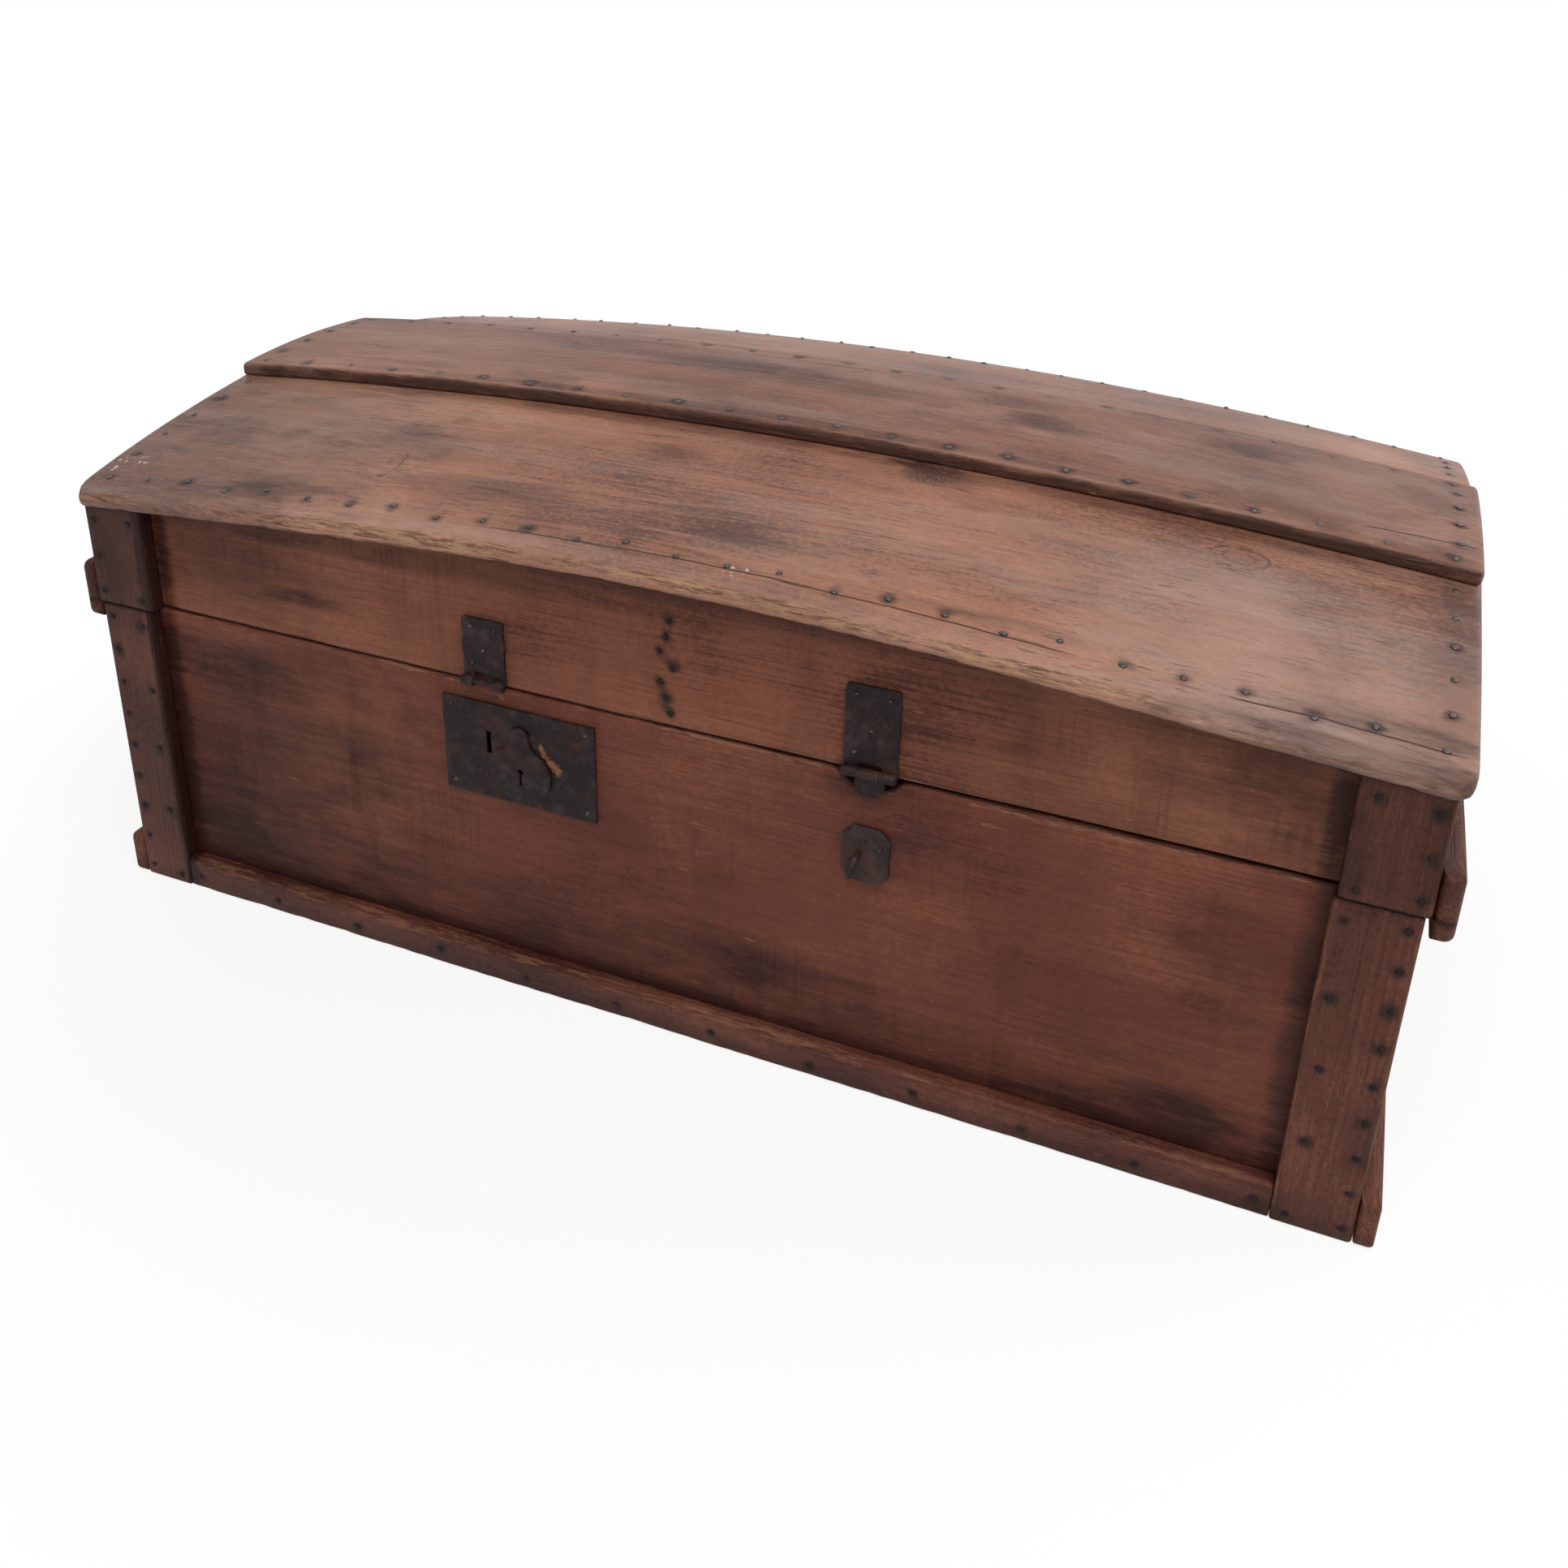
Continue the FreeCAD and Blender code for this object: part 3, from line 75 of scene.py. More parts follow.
def nails_of(node):
    """Return the head centre, facing direction and head radius of every nail in a CAD nail group."""
    shape = bmesh.new()
    shape.from_mesh(frame["nodes"][node].data)
    bmesh.ops.remove_doubles(shape, verts=shape.verts, dist=MERGE)
    shape.verts.index_update()
    seen = set()
    nails = []
    for first in shape.verts:
        if first in seen:
            continue
        nail = {first}
        edge = {first}
        while edge:
            edge = {link.other_vert(vert) for vert in edge for link in vert.link_edges} - nail
            nail |= edge
        seen |= nail
        points = np.array([vert.co for vert in sorted(nail, key=lambda vert: vert.index)])
        tip = points[np.argmax(np.linalg.norm(points - points.mean(axis=0), axis=1))]
        peak = points[np.argmax(np.linalg.norm(points - tip, axis=1))]
        facing = (peak - tip) / np.linalg.norm(peak - tip)
        out = points - peak
        radius = np.linalg.norm(out - np.outer(out @ facing, facing), axis=1).max()
        nails.append((peak - HEAD_HEIGHT * facing, facing, radius))
    shape.free()
    return nails


TOP_REACH = 0.313
TOP_HALF = 0.5625
CAP_REACH = 0.0965
SLOPE_CROWN = 0.0040
NOSE_LIFT = 0.0090


def swell(x, y):
    """Return how far the sloping boards swell: crowned across, and lifted at the middle of the nose."""
    part = np.clip((np.abs(y) - CAP_REACH) / (TOP_REACH - CAP_REACH), 0, 1)
    lift = np.where(y < 0, NOSE_LIFT, 0) * np.clip(1 - (x / TOP_HALF) ** 2, 0, 1) ** 3
    return SLOPE_CROWN * np.sin(math.pi * part) + lift * part


nail_groups = sorted(node for node in frame["nodes"] if node.endswith("_nails"))
nails = {node: nails_of(node) for node in nail_groups}
for node in ("top_edge_nails", "top_end_nails"):
    nails[node] = [(head + (0, 0, swell(head[0], head[1])), facing, radius)
                   for head, facing, radius in nails[node]]
all_nails = sum(nails.values(), [])
nail_places = kdtree.KDTree(len(all_nails))
for number, (head, facing, radius) in enumerate(all_nails):
    nail_places.insert(head, number)
nail_places.balance()

SEED_STEP = 3.71
ARC_STEPS = 4


def waves(points, rate, seed):
    """Return smooth noise from -1 to 1 at each point, with a rate per metre for each axis."""
    moved = points * np.array(rate) + seed * SEED_STEP
    values = [noise.noise(point) for point in moved.reshape(-1, 3).tolist()]
    return np.array(values).reshape(points.shape[:-1])


def board_section(across_cells, up_cells):
    """Return the points of a rounded four-cornered section, ready for any width, height and radii."""
    rows = []
    for corner in range(4):
        right = corner in (1, 2)
        upper = corner in (2, 3)
        for step in range(ARC_STEPS + 1):
            turn = math.radians(180 + 90 * corner + 90 * step / ARC_STEPS)
            pull = np.zeros((2, 4))
            pull[0, corner] = (-1 if right else 1) + math.cos(turn)
            pull[1, corner] = (-1 if upper else 1) + math.sin(turn)
            rows.append((float(right), float(upper), pull, (math.cos(turn), math.sin(turn)), corner))
        after = (corner + 1) % 4
        cells = across_cells if corner in (0, 2) else up_cells
        for cell in range(1, cells):
            part = cell / cells
            pull = np.zeros((2, 4))
            line = 0 if corner in (0, 2) else 1
            sign = 1 if corner in (0, 1) else -1
            pull[line, corner] = sign * (1 - part)
            pull[line, after] = -sign * part
            spot = [(part, 0.0), (1.0, part), (1 - part, 1.0), (0.0, 1 - part)][corner]
            facing = [(0, -1), (1, 0), (0, 1), (-1, 0)][corner]
            rows.append((spot[0], spot[1], pull, facing, None))
    return rows


def quarter_round(depth, radius):
    """Return how far a rounded corner of that radius falls back, at a depth in from its end."""
    return radius - np.sqrt(np.maximum(radius ** 2 - np.clip(radius - depth, 0, radius) ** 2, 0))


# How a board's ends, edges, faces and grain are made to differ
TIP_PLACES = np.array([0, 0.06, 0.25, 0.6])
EDGE_APART = 1.7
EDGE_WANDER = 0.45
BROADEST_RADIUS = 0.48
SQUARE_ON = 0.9
BARE_FROM = 0.3
END_RUB = 0.006
TREE_APART = 1.37
HEART_SHIFT = 0.11
HEART_TURN = 2.3


def worn_board(node, along, arris, material, body, seed, inner=None, low=None, high=None,
               end=None, chips=(0, 0, 0, 0), ease=0.0015, corner=(0, 0), sway=0.0003, step=0.0055):
    """Make a board in a CAD board's place, with rubbed edges, slight waves, chips and its grain's run.

    The section has four edge radii, in the order lower left, lower right, upper right, upper left.
    Low, high and end may be rules for edges that aren't straight, and corner rounds the board's plan.
    """
    least, most = (np.array(point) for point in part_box(node))
    first, second = (axis for axis in range(3) if axis != along)
    across_cells = max(2, round((most[first] - least[first]) / step))
    up_cells = max(2, round((most[second] - least[second]) / step))
    rows = board_section(across_cells, up_cells)
    spot = np.array([row[:2] for row in rows])
    pull = np.array([row[2] for row in rows])
    facing = np.array([row[3] for row in rows], float)
    edge = np.array([0.0 if row[4] is None else 1.0 for row in rows])
    nicks = np.array([0.0 if row[4] is None else chips[row[4]] for row in rows])

    start, stop = least[along], most[along]
    count = max(3, round((stop - start - 2 * ease) / step))
    tip = TIP_PLACES * ease
    middle = np.linspace(start + ease, stop - ease, count)
    station = np.concatenate([start + tip, middle, stop - tip[::-1]])
    from_end = np.minimum(station - start, stop - station)
    inset = quarter_round(from_end, ease)

    # The radii of the edges wander along the board, with long and short chips
    line = np.zeros((len(station), 4, 3))
    line[..., 0] = station[:, None]
    line[..., 1] = np.arange(4) * EDGE_APART
    radius = np.array(arris) * (1 + EDGE_WANDER * waves(line, (9, 1, 1), seed))
    radius += np.array(chips) * np.clip(waves(line, (26, 1, 1), seed + 5) * 1.6 - 0.25, 0, 1)
    radius += np.array(chips) * 0.5 * np.clip(waves(line, (90, 1, 1), seed + 9) - 0.1, 0, 1)

    left = (least[first] + inset + quarter_round(from_end, corner[0]))[:, None]
    right = (most[first] - inset - quarter_round(from_end, corner[1]))[:, None]
    run = np.repeat(station[:, None], len(rows), axis=1)
    low = low or (lambda run, side: np.full_like(run, least[second]))
    high = high or (lambda run, side: np.full_like(run, most[second]))
    sharp = left + spot[:, 0] * (right - left)
    tall = (high(run, sharp) - low(run, sharp)).min(axis=1, keepdims=True) - 2 * inset[:, None]
    radius = np.minimum(radius, BROADEST_RADIUS * np.minimum(tall, right - left))
    side = sharp + radius @ pull[:, 0].T
    under = low(run, side) + inset[:, None]
    over = high(run, side) - inset[:, None]
    rise = under + spot[:, 1] * (over - under) + radius @ pull[:, 1].T
    if end:
        run = start + (run - start) * (end(side, rise) - start) / (stop - start)

    points = np.zeros((len(station), len(rows), 3))
    points[..., along] = run
    points[..., first] = side
    points[..., second] = rise
    # The faces sway a little inwards, and the edges have nicks
    push = sway * (waves(points, (6, 11, 11), seed + 2) - 1)
    push -= 0.6 * nicks * np.clip(waves(points, (75, 190, 190), seed + 4), 0, 1)
    points[..., first] += facing[:, 0] * push
    points[..., second] += facing[:, 1] * push

    ring = len(rows)
    here = np.arange(ring)
    faces = []
    for place in range(len(station) - 1):
        base = place * ring
        faces += np.stack([base + here, base + (here + 1) % ring,
                           base + ring + (here + 1) % ring, base + ring + here], axis=1).tolist()
    faces += [here.tolist()[::-1], (here + (len(station) - 1) * ring).tolist()]
    mesh = bpy.data.meshes.new(node + "_worn")
    mesh.from_pydata(points.reshape(-1, 3).tolist(), [], faces)
    mesh.polygons.foreach_set("use_smooth", [True] * (len(faces) - 2) + [False] * 2)
    shape = bmesh.new()
    shape.from_mesh(mesh)
    bmesh.ops.recalc_face_normals(shape, faces=shape.faces)
    shape.to_mesh(mesh)
    shape.free()

    # Each board is sawn from its own place in a tree
    wide, thin = sorted((first, second), key=lambda axis: least[axis] - most[axis])
    grain = np.zeros_like(points)
    grain[..., 0] = points[..., along] + TREE_APART * seed
    grain[..., 1] = points[..., wide] - (least[wide] + most[wide]) / 2
    grain[..., 1] += HEART_SHIFT * math.sin(HEART_TURN * seed)
    grain[..., 2] = (points[..., thin] - (least[thin] + most[thin]) / 2) * (1 if seed % 2 else -1)
    to_nail = [nail_places.find(point)[2] for point in points.reshape(-1, 3)]
    sides = {"low": -facing[:, 1] > SQUARE_ON, "high": facing[:, 1] > SQUARE_ON,
             "left": -facing[:, 0] > SQUARE_ON, "right": facing[:, 0] > SQUARE_ON}
    bare_side = sides[inner].astype(float) if inner else np.zeros(ring)
    inside = np.outer(from_end > BARE_FROM * ease, bare_side).reshape(-1)
    near_end = np.clip(1 - np.minimum(run - start, stop - run) / END_RUB, 0, 1)
    rub = np.maximum(np.tile(edge, (len(station), 1)), near_end).reshape(-1)
    mark(mesh, "grain", grain)
    mark(mesh, "wear", rub)
    mark(mesh, "nail", to_nail)
    mark(mesh, "inside", inside)

    board = add(node + "_worn", mesh)
    mesh.materials.append(material)
    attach(board, body)
    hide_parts(node)
    return board


class Shade:
    """A value in a node tree: arithmetic on it adds Math nodes, and node() adds any other node."""

    def __init__(self, tree, socket=None):
        self.tree = tree
        self.socket = socket

    def node(self, kind, settings=None, inputs=None, output=0):
        """Add a node with its settings and inputs, and return one of its outputs."""
        made = self.tree.nodes.new(kind)
        for key, value in (settings or {}).items():
            setattr(made, key, value)
        for key, value in (inputs or {}).items():
            if isinstance(value, Shade):
                self.tree.links.new(value.socket, made.inputs[key])
            else:
                made.inputs[key].default_value = value
        return Shade(self.tree, made.outputs[output])

    def math(self, operation, *others):
        """Add a Math node on this value and the others."""
        return self.node("ShaderNodeMath", {"operation": operation}, dict(enumerate((self, *others))))

    def __add__(self, other):
        return self.math("ADD", other)

    def __sub__(self, other):
        return self.math("SUBTRACT", other)

    def __rsub__(self, other):
        return self.math("MULTIPLY_ADD", -1.0, other)

    def __mul__(self, other):
        return self.math("MULTIPLY", other)

    def __truediv__(self, other):
        return self.math("DIVIDE", other)

    def __pow__(self, other):
        return self.math("POWER", other)

    __radd__ = __add__
    __rmul__ = __mul__

    def between(self, least, most):
        """Rise smoothly from 0 at least to 1 at most."""
        return self.node("ShaderNodeMapRange", {"interpolation_type": "SMOOTHSTEP"},
                         {"Value": self, "From Min": least, "From Max": most})

    def cloud(self, rate, detail=2.0, rough=0.55):
        """Noise about 0.5 on this vector, with a rate per metre for each axis."""
        scaled = self.node("ShaderNodeVectorMath", {"operation": "MULTIPLY"}, {0: self, 1: rate})
        return self.node("ShaderNodeTexNoise", None,
                         {"Vector": scaled, "Scale": 1.0, "Detail": detail, "Roughness": rough})

    def mix(self, first, second, share):
        """Blend two colours by a share from 0 to 1."""
        return self.node("ShaderNodeMix", {"data_type": "RGBA"},
                         {0: share, 6: first, 7: second}, output=2)

    def parts(self):
        """Return the three numbers of this vector."""
        cut = self.node("ShaderNodeSeparateXYZ", None, {0: self}).socket.node
        return [Shade(self.tree, socket) for socket in cut.outputs]


def colour(red, green, blue):
    return (red, green, blue, 1.0)


BUMP_DEPTH = 0.0008


def dress(material, shade, gloss, height, strength, shine):
    """Feed a material's colour, roughness and bumps to its shader."""
    bump = shade.node("ShaderNodeBump", None,
                      {"Strength": strength, "Distance": BUMP_DEPTH, "Height": height}, output="Normal")
    surface = material.node_tree.nodes["Principled BSDF"]
    surface.inputs["Specular IOR Level"].default_value = shine
    for socket, value in {"Base Color": shade, "Roughness": gloss, "Normal": bump}.items():
        material.node_tree.links.new(value.socket, surface.inputs[socket])


def strongest(marks):
    """Return the strongest of several marks at each place, or None where there are no marks."""
    most = marks[0] if marks else None
    for other in marks[1:]:
        most = most.math("MAXIMUM", other)
    return most


OLD_PINE = colour(0.27, 0.160, 0.088)
OLD_PINE_PALE = colour(0.36, 0.235, 0.140)
RING_BROWN = colour(0.12, 0.055, 0.028)
DIRT = colour(0.017, 0.010, 0.008)
DUST_AND_SHEEN = colour(0.335, 0.238, 0.200)
OLD_PAINT = colour(0.47, 0.39, 0.35)


def pine(name, tint, pale, dark, rubbed, rubbing=0.6, grime=0.5, roughness=0.5, figure=0.8, pitting=0.2,
         smeared=0.5, runs=0.0, haze_and_sheen=0.0, flat="Z", firm=0.85, shine=0.16, soot=0.0,
         bare_run=None, knots=(), stains_and_shade=(), faded_and_sheen=(), cracks=(), paint=()):
    """Pine under an old stain: rings, fibres, pores, dirt, iron stains at the nails, rubbed edges, and
    painted shade and painted sheen where marks are given.

    Marks are placed by X and by the board's other direction, flat. Stains and painted shade, and faded
    places and painted sheen, then have a half length, a half width and a depth, knots also the depth of
    their outline, cracks their far end and half width, and flecks of paint a half width. The bare run gives
    the places in X where rubbed edges are barest and least bare.
    """
    material = bpy.data.materials.new(name)
    material.use_nodes = True
    start = Shade(material.node_tree)
    grain = start.node("ShaderNodeAttribute", {"attribute_name": "grain"}, output="Vector")
    wear = start.node("ShaderNodeAttribute", {"attribute_name": "wear"}, output="Fac")
    nail = start.node("ShaderNodeAttribute", {"attribute_name": "nail"}, output="Fac")
    inside = start.node("ShaderNodeAttribute", {"attribute_name": "inside"}, output="Fac")
    place = start.node("ShaderNodeTexCoord", output="Object")
    x, y, z = place.parts()
    other = y if flat == "Y" else z
    across, deep = grain.parts()[1:]
    soak_and_shade_colour = colour(*(0.5 * part for part in dark[:3]))

    def away(spot_x, spot_other, reach, girth):
        """Return the squared distance from a spot, in its half lengths along X and across."""
        off_x = (x - spot_x) / reach
        off_other = (other - spot_other) / girth
        return off_x * off_x + off_other * off_other

    side = across + (grain.cloud((0.8, 3.5, 3.5), 2) - 0.5) * 0.04
    rise = deep + (grain.cloud((0.6, 0.3, 0.3), 1) - 0.5) * 0.07 + 0.09
    ring = (side * side + rise * rise) ** 0.5
    cores = []
    rims = []
    for knot_x, knot_other, reach, girth, depth, outline in knots:
        far = away(knot_x, knot_other, reach, girth)
        ring = ring + (far * -0.13).math("EXPONENT") * 0.006
        far = far + (place.cloud((60, 110, 110), 3, 0.65) - 0.5) * 1.7
        cores.append(far.between(1.6, 0.2) * place.cloud((420, 420, 420), 2).between(0.36, 0.6) * depth)
        rims.append(far.between(1.5, 1.1) * far.between(0.7, 1.05) * outline)
    bands = (ring * 240 + grain.cloud((3.5, 45, 45), 2) * 0.8).math("FRACT")
    late = bands ** 3 * grain.cloud((2.5, 14, 14), 2).between(0.36, 0.62)
    fibre = grain.cloud((20, 620, 620), 3, 0.7)
    streak = grain.cloud((4.5, 180, 180), 3, 0.65)
    pores = grain.cloud((11, 520, 520), 3, 0.75).between(0.585, 0.66)
    pores = pores * place.cloud((15, 15, 15), 2).between(0.38, 0.62)
    speck = place.cloud((240, 240, 240), 2, 0.7)
    tone = grain.cloud((2.2, 20, 20), 3)
    cast = place.cloud((4.5, 6, 6), 2)
    value = ((tone - 0.5) * 0.9 + (streak - 0.5) * 0.45 + (fibre - 0.5) * 0.9 + (speck - 0.5) * 0.7
             + (cast - 0.5) * 1.8 - late * 0.18) * figure + 0.53
    shade = start.mix(dark, tint, value.between(0.0, 0.52))
    shade = start.mix(shade, pale, value.between(0.48, 1.0))
    # A grey haze, partly dust and partly painted sheen, lies over the wood in patches and at the listed
    # places.
    if haze_and_sheen:
        dust_and_sheen = grain.cloud((3, 24, 24), 4, 0.65).between(0.44, 0.66) * haze_and_sheen
        for greyed_x, greyed_other, reach, girth, depth in faded_and_sheen:
            far = away(greyed_x, greyed_other, reach, girth) + (streak - 0.5) * 1.5
            dust_and_sheen = dust_and_sheen + far.between(1.3, 0.0) * depth
        shade = start.mix(shade, DUST_AND_SHEEN, dust_and_sheen.math("MINIMUM", 0.85))
    raw = start.mix(OLD_PINE, OLD_PINE_PALE, tone.between(0.36, 0.64))
    raw = start.mix(raw, RING_BROWN, late * 0.55 + streak.between(0.55, 0.75) * 0.3)
    shade = start.mix(shade, raw, inside)

    rub = (wear + (grain.cloud((24, 170, 170), 3, 0.75) - 0.5) * 2.4
           + (grain.cloud((6, 18, 18), 2) - 0.5) * 1.5).between(firm, firm + 0.35)
    if bare_run:
        barest, least_bare = bare_run
        rub = rub * (x.between(least_bare, barest) * 0.8 + 0.2)
    straw = start.mix(rubbed, dark, grain.cloud((34, 420, 420), 3, 0.75).between(0.44, 0.60) * 0.85)
    shade = start.mix(shade, straw, rub * rubbing)

    smear = grain.cloud((8, 85, 85), 4, 0.7).between(0.54, 0.70)
    blotch = place.cloud((8, 12, 12), 4, 0.65).between(0.50, 0.72)
    soak_and_shade = (blotch * 0.6 + smear * smeared) * grime
    if runs:
        drip = place.cloud((34, 34, 4), 3).between(0.50, 0.68) * place.cloud((5, 5, 8), 2)
        sawn = place.cloud((190, 190, 3), 1).between(0.52, 0.62)
        sawn = sawn * place.cloud((7, 7, 9), 1).between(0.52, 0.66)
        soak_and_shade = soak_and_shade + drip * runs + sawn * runs * 0.6
    ragged = grain.cloud((16, 80, 80), 3, 0.72) - 0.5
    # Each listed mark darkens the wood: some are real stains, others are painted shade in corners, gaps,
    # notches and under overhangs.
    for darkening_x, darkening_other, reach, girth, depth in stains_and_shade:
        far = away(darkening_x, darkening_other, reach, girth) + ragged * 2.0
        soak_and_shade = soak_and_shade + far.between(1.5, -0.4) * depth
    halo = (nail + ragged * 0.018).between(0.0095, 0.0025) * 0.7
    halo = halo * place.cloud((17, 17, 17), 1).between(0.35, 0.6)
    soak_and_shade = (soak_and_shade + halo).math("MINIMUM", 0.95) * (1 - inside * 0.75)
    # The soak mixes real blotches, smears, runs and iron stains with the painted shade of the marks.
    shade = start.mix(shade, soak_and_shade_colour, soak_and_shade)
    spot = (nail + ragged * 0.007).between(0.0056 + 0.0026 * soot, 0.0034) * (0.5 + 0.4 * soot)
    shade = start.mix(shade, DIRT, pores * pitting + spot * (1 - inside))
    if knots:
        core = strongest(cores)
        rim = strongest(rims) * place.cloud((75, 75, 75), 1).between(0.38, 0.55)
        shade = start.mix(shade, soak_and_shade_colour, core * 0.7)
        shade = start.mix(shade, DIRT, rim * 0.8)
    scuff = grain.cloud((42, 190, 190), 3, 0.6).between(0.68, 0.73)
    scuff = scuff * place.cloud((9, 9, 9), 1).between(0.45, 0.6)
    shade = start.mix(shade, rubbed, scuff * 0.55)
    for fleck_x, fleck_other, reach in paint:
        near = away(fleck_x, fleck_other, reach, reach).between(1.2, 0.4)
        fleck = near * place.cloud((170, 170, 170), 3).between(0.58, 0.63)
        shade = start.mix(shade, OLD_PAINT, fleck)

    lines = []
    wander = place.cloud((12, 12, 12), 3) - 0.5
    for x_from, other_from, x_to, other_to, gap in cracks:
        run = (x - x_from) / (x_to - x_from)
        off = (other - other_from - run * (other_to - other_from) + wander * 0.008).math("ABSOLUTE")
        open_run = run.between(0.0, 0.12) * run.between(1.0, 0.88)
        lines.append(off.between(gap, gap * 0.35) * open_run)
    split = strongest(lines)
    if split:
        shade = start.mix(shade, DIRT, split * 0.95)

    height = (fibre * 1.3 + late * 0.4 + streak * 0.9 - pores * 1.5 * pitting - rub * 1.5 + speck * 0.5
              + grain.cloud((7, 60, 60), 2) * 1.8)
    if split:
        height = height - split * 3.0
    if knots:
        height = height + core * 0.5 - rim * 0.9
    gloss = (roughness + (fibre - 0.5) * 0.3 + soak_and_shade * 0.08 + rub * 0.2 + inside * 0.25
             + (tone - 0.5) * 0.25)
    dress(material, shade, gloss, height, 0.6, shine)
    return material


bare_pine = pine("bare_pine", OLD_PINE, OLD_PINE_PALE, RING_BROWN, OLD_PINE_PALE, rubbing=0.3,
                 grime=0.7, roughness=0.72)
for number, node in enumerate(("floor_board_front", "floor_board_middle", "floor_board_rear")):
    worn_board(node, 0, [0.0012] * 4, bare_pine, "carcass", 3 + number)


# End walls and back wall of the carcass
# Single wide pine boards, nailed at the corners, stained red brown outside and left bare inside.

FOX_STAIN = colour(0.116, 0.0325, 0.0182)
FOX_PALE = colour(0.196, 0.0670, 0.0360)
FOX_DARK = colour(0.043, 0.0090, 0.0066)
RUBBED_WALL = colour(0.215, 0.096, 0.056)

wall_pine = pine("wall_pine", FOX_STAIN, FOX_PALE, FOX_DARK, RUBBED_WALL, rubbing=0.55, grime=0.7,
                 roughness=0.5, figure=0.7, runs=0.4)
worn_board("carcass_left_end", 1, [0.0012, 0.0008, 0.0010, 0.0018], wall_pine,
           "carcass", 7, inner="right")
worn_board("carcass_right_end", 1, [0.0008, 0.0012, 0.0018, 0.0010], wall_pine,
           "carcass", 8, inner="left")
worn_board("carcass_back_board", 0, [0.0008, 0.0012, 0.0018, 0.0010], wall_pine,
           "carcass", 9, inner="left")


# Front wall of the carcass
# One wide pine board, with a scooped notch in its upper edge for the right hasp and a mortise for
# the lock cut into its face, stained, and darkened by damp and handling. Shade is painted into the stain
# along the foot, in the corners by the battens and the rail, towards the left end, along the split under
# the lid and in the hasp's notch.

NOTCH_X = 0.163
NOTCH_HALF = 0.027
NOTCH_DEPTH = 0.014
MORTISE_LOW = (-0.1815, -0.2995, 0.1950)
MORTISE_HIGH = (-0.0905, -0.2805, 0.2580)

front_pine = pine(
    "front_pine", FOX_STAIN, FOX_PALE, FOX_DARK, RUBBED_WALL, rubbing=0.8, grime=0.5, roughness=0.47,
    figure=0.75, smeared=0.15, pitting=0.35, runs=0.25, soot=0.5,
    knots=[(-0.040, 0.137, 0.015, 0.011, 0.6, 0.0), (-0.046, 0.086, 0.014, 0.012, 0.6, 0.0),
           (0.419, 0.169, 0.015, 0.011, 0.5, 0.1)],
    # Painted shade: the band along the foot, runs by the battens and rail, the left end, the split, the
    # notch.
    stains_and_shade=[(0.073, 0.083, 0.105, 0.030, 0.45), (-0.425, 0.238, 0.085, 0.030, 0.5),
            (-0.054, 0.181, 0.050, 0.028, 0.3), (0.347, 0.129, 0.10, 0.050, 0.25),
            (0.44, 0.20, 0.06, 0.06, 0.35), (-0.46, 0.10, 0.05, 0.09, 0.35),
            (0.40, 0.05, 0.12, 0.022, 0.4), (0.42, 0.065, 0.05, 0.022, 0.4),
            (0.0, 0.010, 1.2, 0.090, 0.5), (-0.494, 0.16, 0.012, 0.25, 0.7),
            (0.488, 0.16, 0.014, 0.25, 0.7), (0.0, 0.034, 0.9, 0.010, 0.4),
            (-0.40, 0.15, 0.22, 0.15, 0.45), (0.0, 0.289, 9.0, 0.0026, 0.9),
            (-0.138, 0.226, 0.088, 0.060, 0.45), (NOTCH_X, 0.218, 0.026, 0.033, 0.6),
            (NOTCH_X, 0.280, 0.040, 0.022, 0.6)])


def notched_edge(x, y):
    """Return the height of the front board's upper edge, with the hasp's notch scooped out of it."""
    bend = (NOTCH_HALF ** 2 + NOTCH_DEPTH ** 2) / (2 * NOTCH_DEPTH)
    off = np.clip(np.abs(x - NOTCH_X), 0, NOTCH_HALF)
    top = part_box("carcass_front_board")[1].z
    return top - (np.sqrt(bend ** 2 - off ** 2) - (bend - NOTCH_DEPTH))


def settle(thing, modifier):
    """Make what a modifier shows the thing's own mesh."""
    bpy.context.view_layer.update()
    shown = thing.evaluated_get(bpy.context.evaluated_depsgraph_get())
    plain = bpy.data.meshes.new_from_object(shown)
    thing.modifiers.remove(modifier)
    thing.data = plain


front_board = worn_board("carcass_front_board", 0, [0.0012, 0.0008, 0.0016, 0.0034], front_pine,
                         "carcass", 11, inner="right", high=notched_edge)
mortise = bmesh.new()
bmesh.ops.create_cube(mortise, size=1.0)
for vert in mortise.verts:
    vert.co = [low + (side + 0.5) * (high - low)
               for low, high, side in zip(MORTISE_LOW, MORTISE_HIGH, vert.co)]
mortise_mesh = bpy.data.meshes.new("mortise_tool")
mortise.to_mesh(mortise_mesh)
mortise.free()
mortise_tool = add("mortise_tool", mortise_mesh)
cut = front_board.modifiers.new("mortise", "BOOLEAN")
cut.object = mortise_tool
settle(front_board, cut)
bpy.data.objects.remove(mortise_tool)


# Corner battens of the carcass
# Upright pine battens over the joints of front and ends, nailed through, darker from handling, with shade
# painted on the left battens' inner side faces and along the split.

BATTEN_STAIN = colour(0.082, 0.0250, 0.0160)
BATTEN_PALE = colour(0.150, 0.0540, 0.0310)
BATTEN_DARK = colour(0.033, 0.0085, 0.0066)
RUBBED_BATTEN = colour(0.18, 0.078, 0.042)

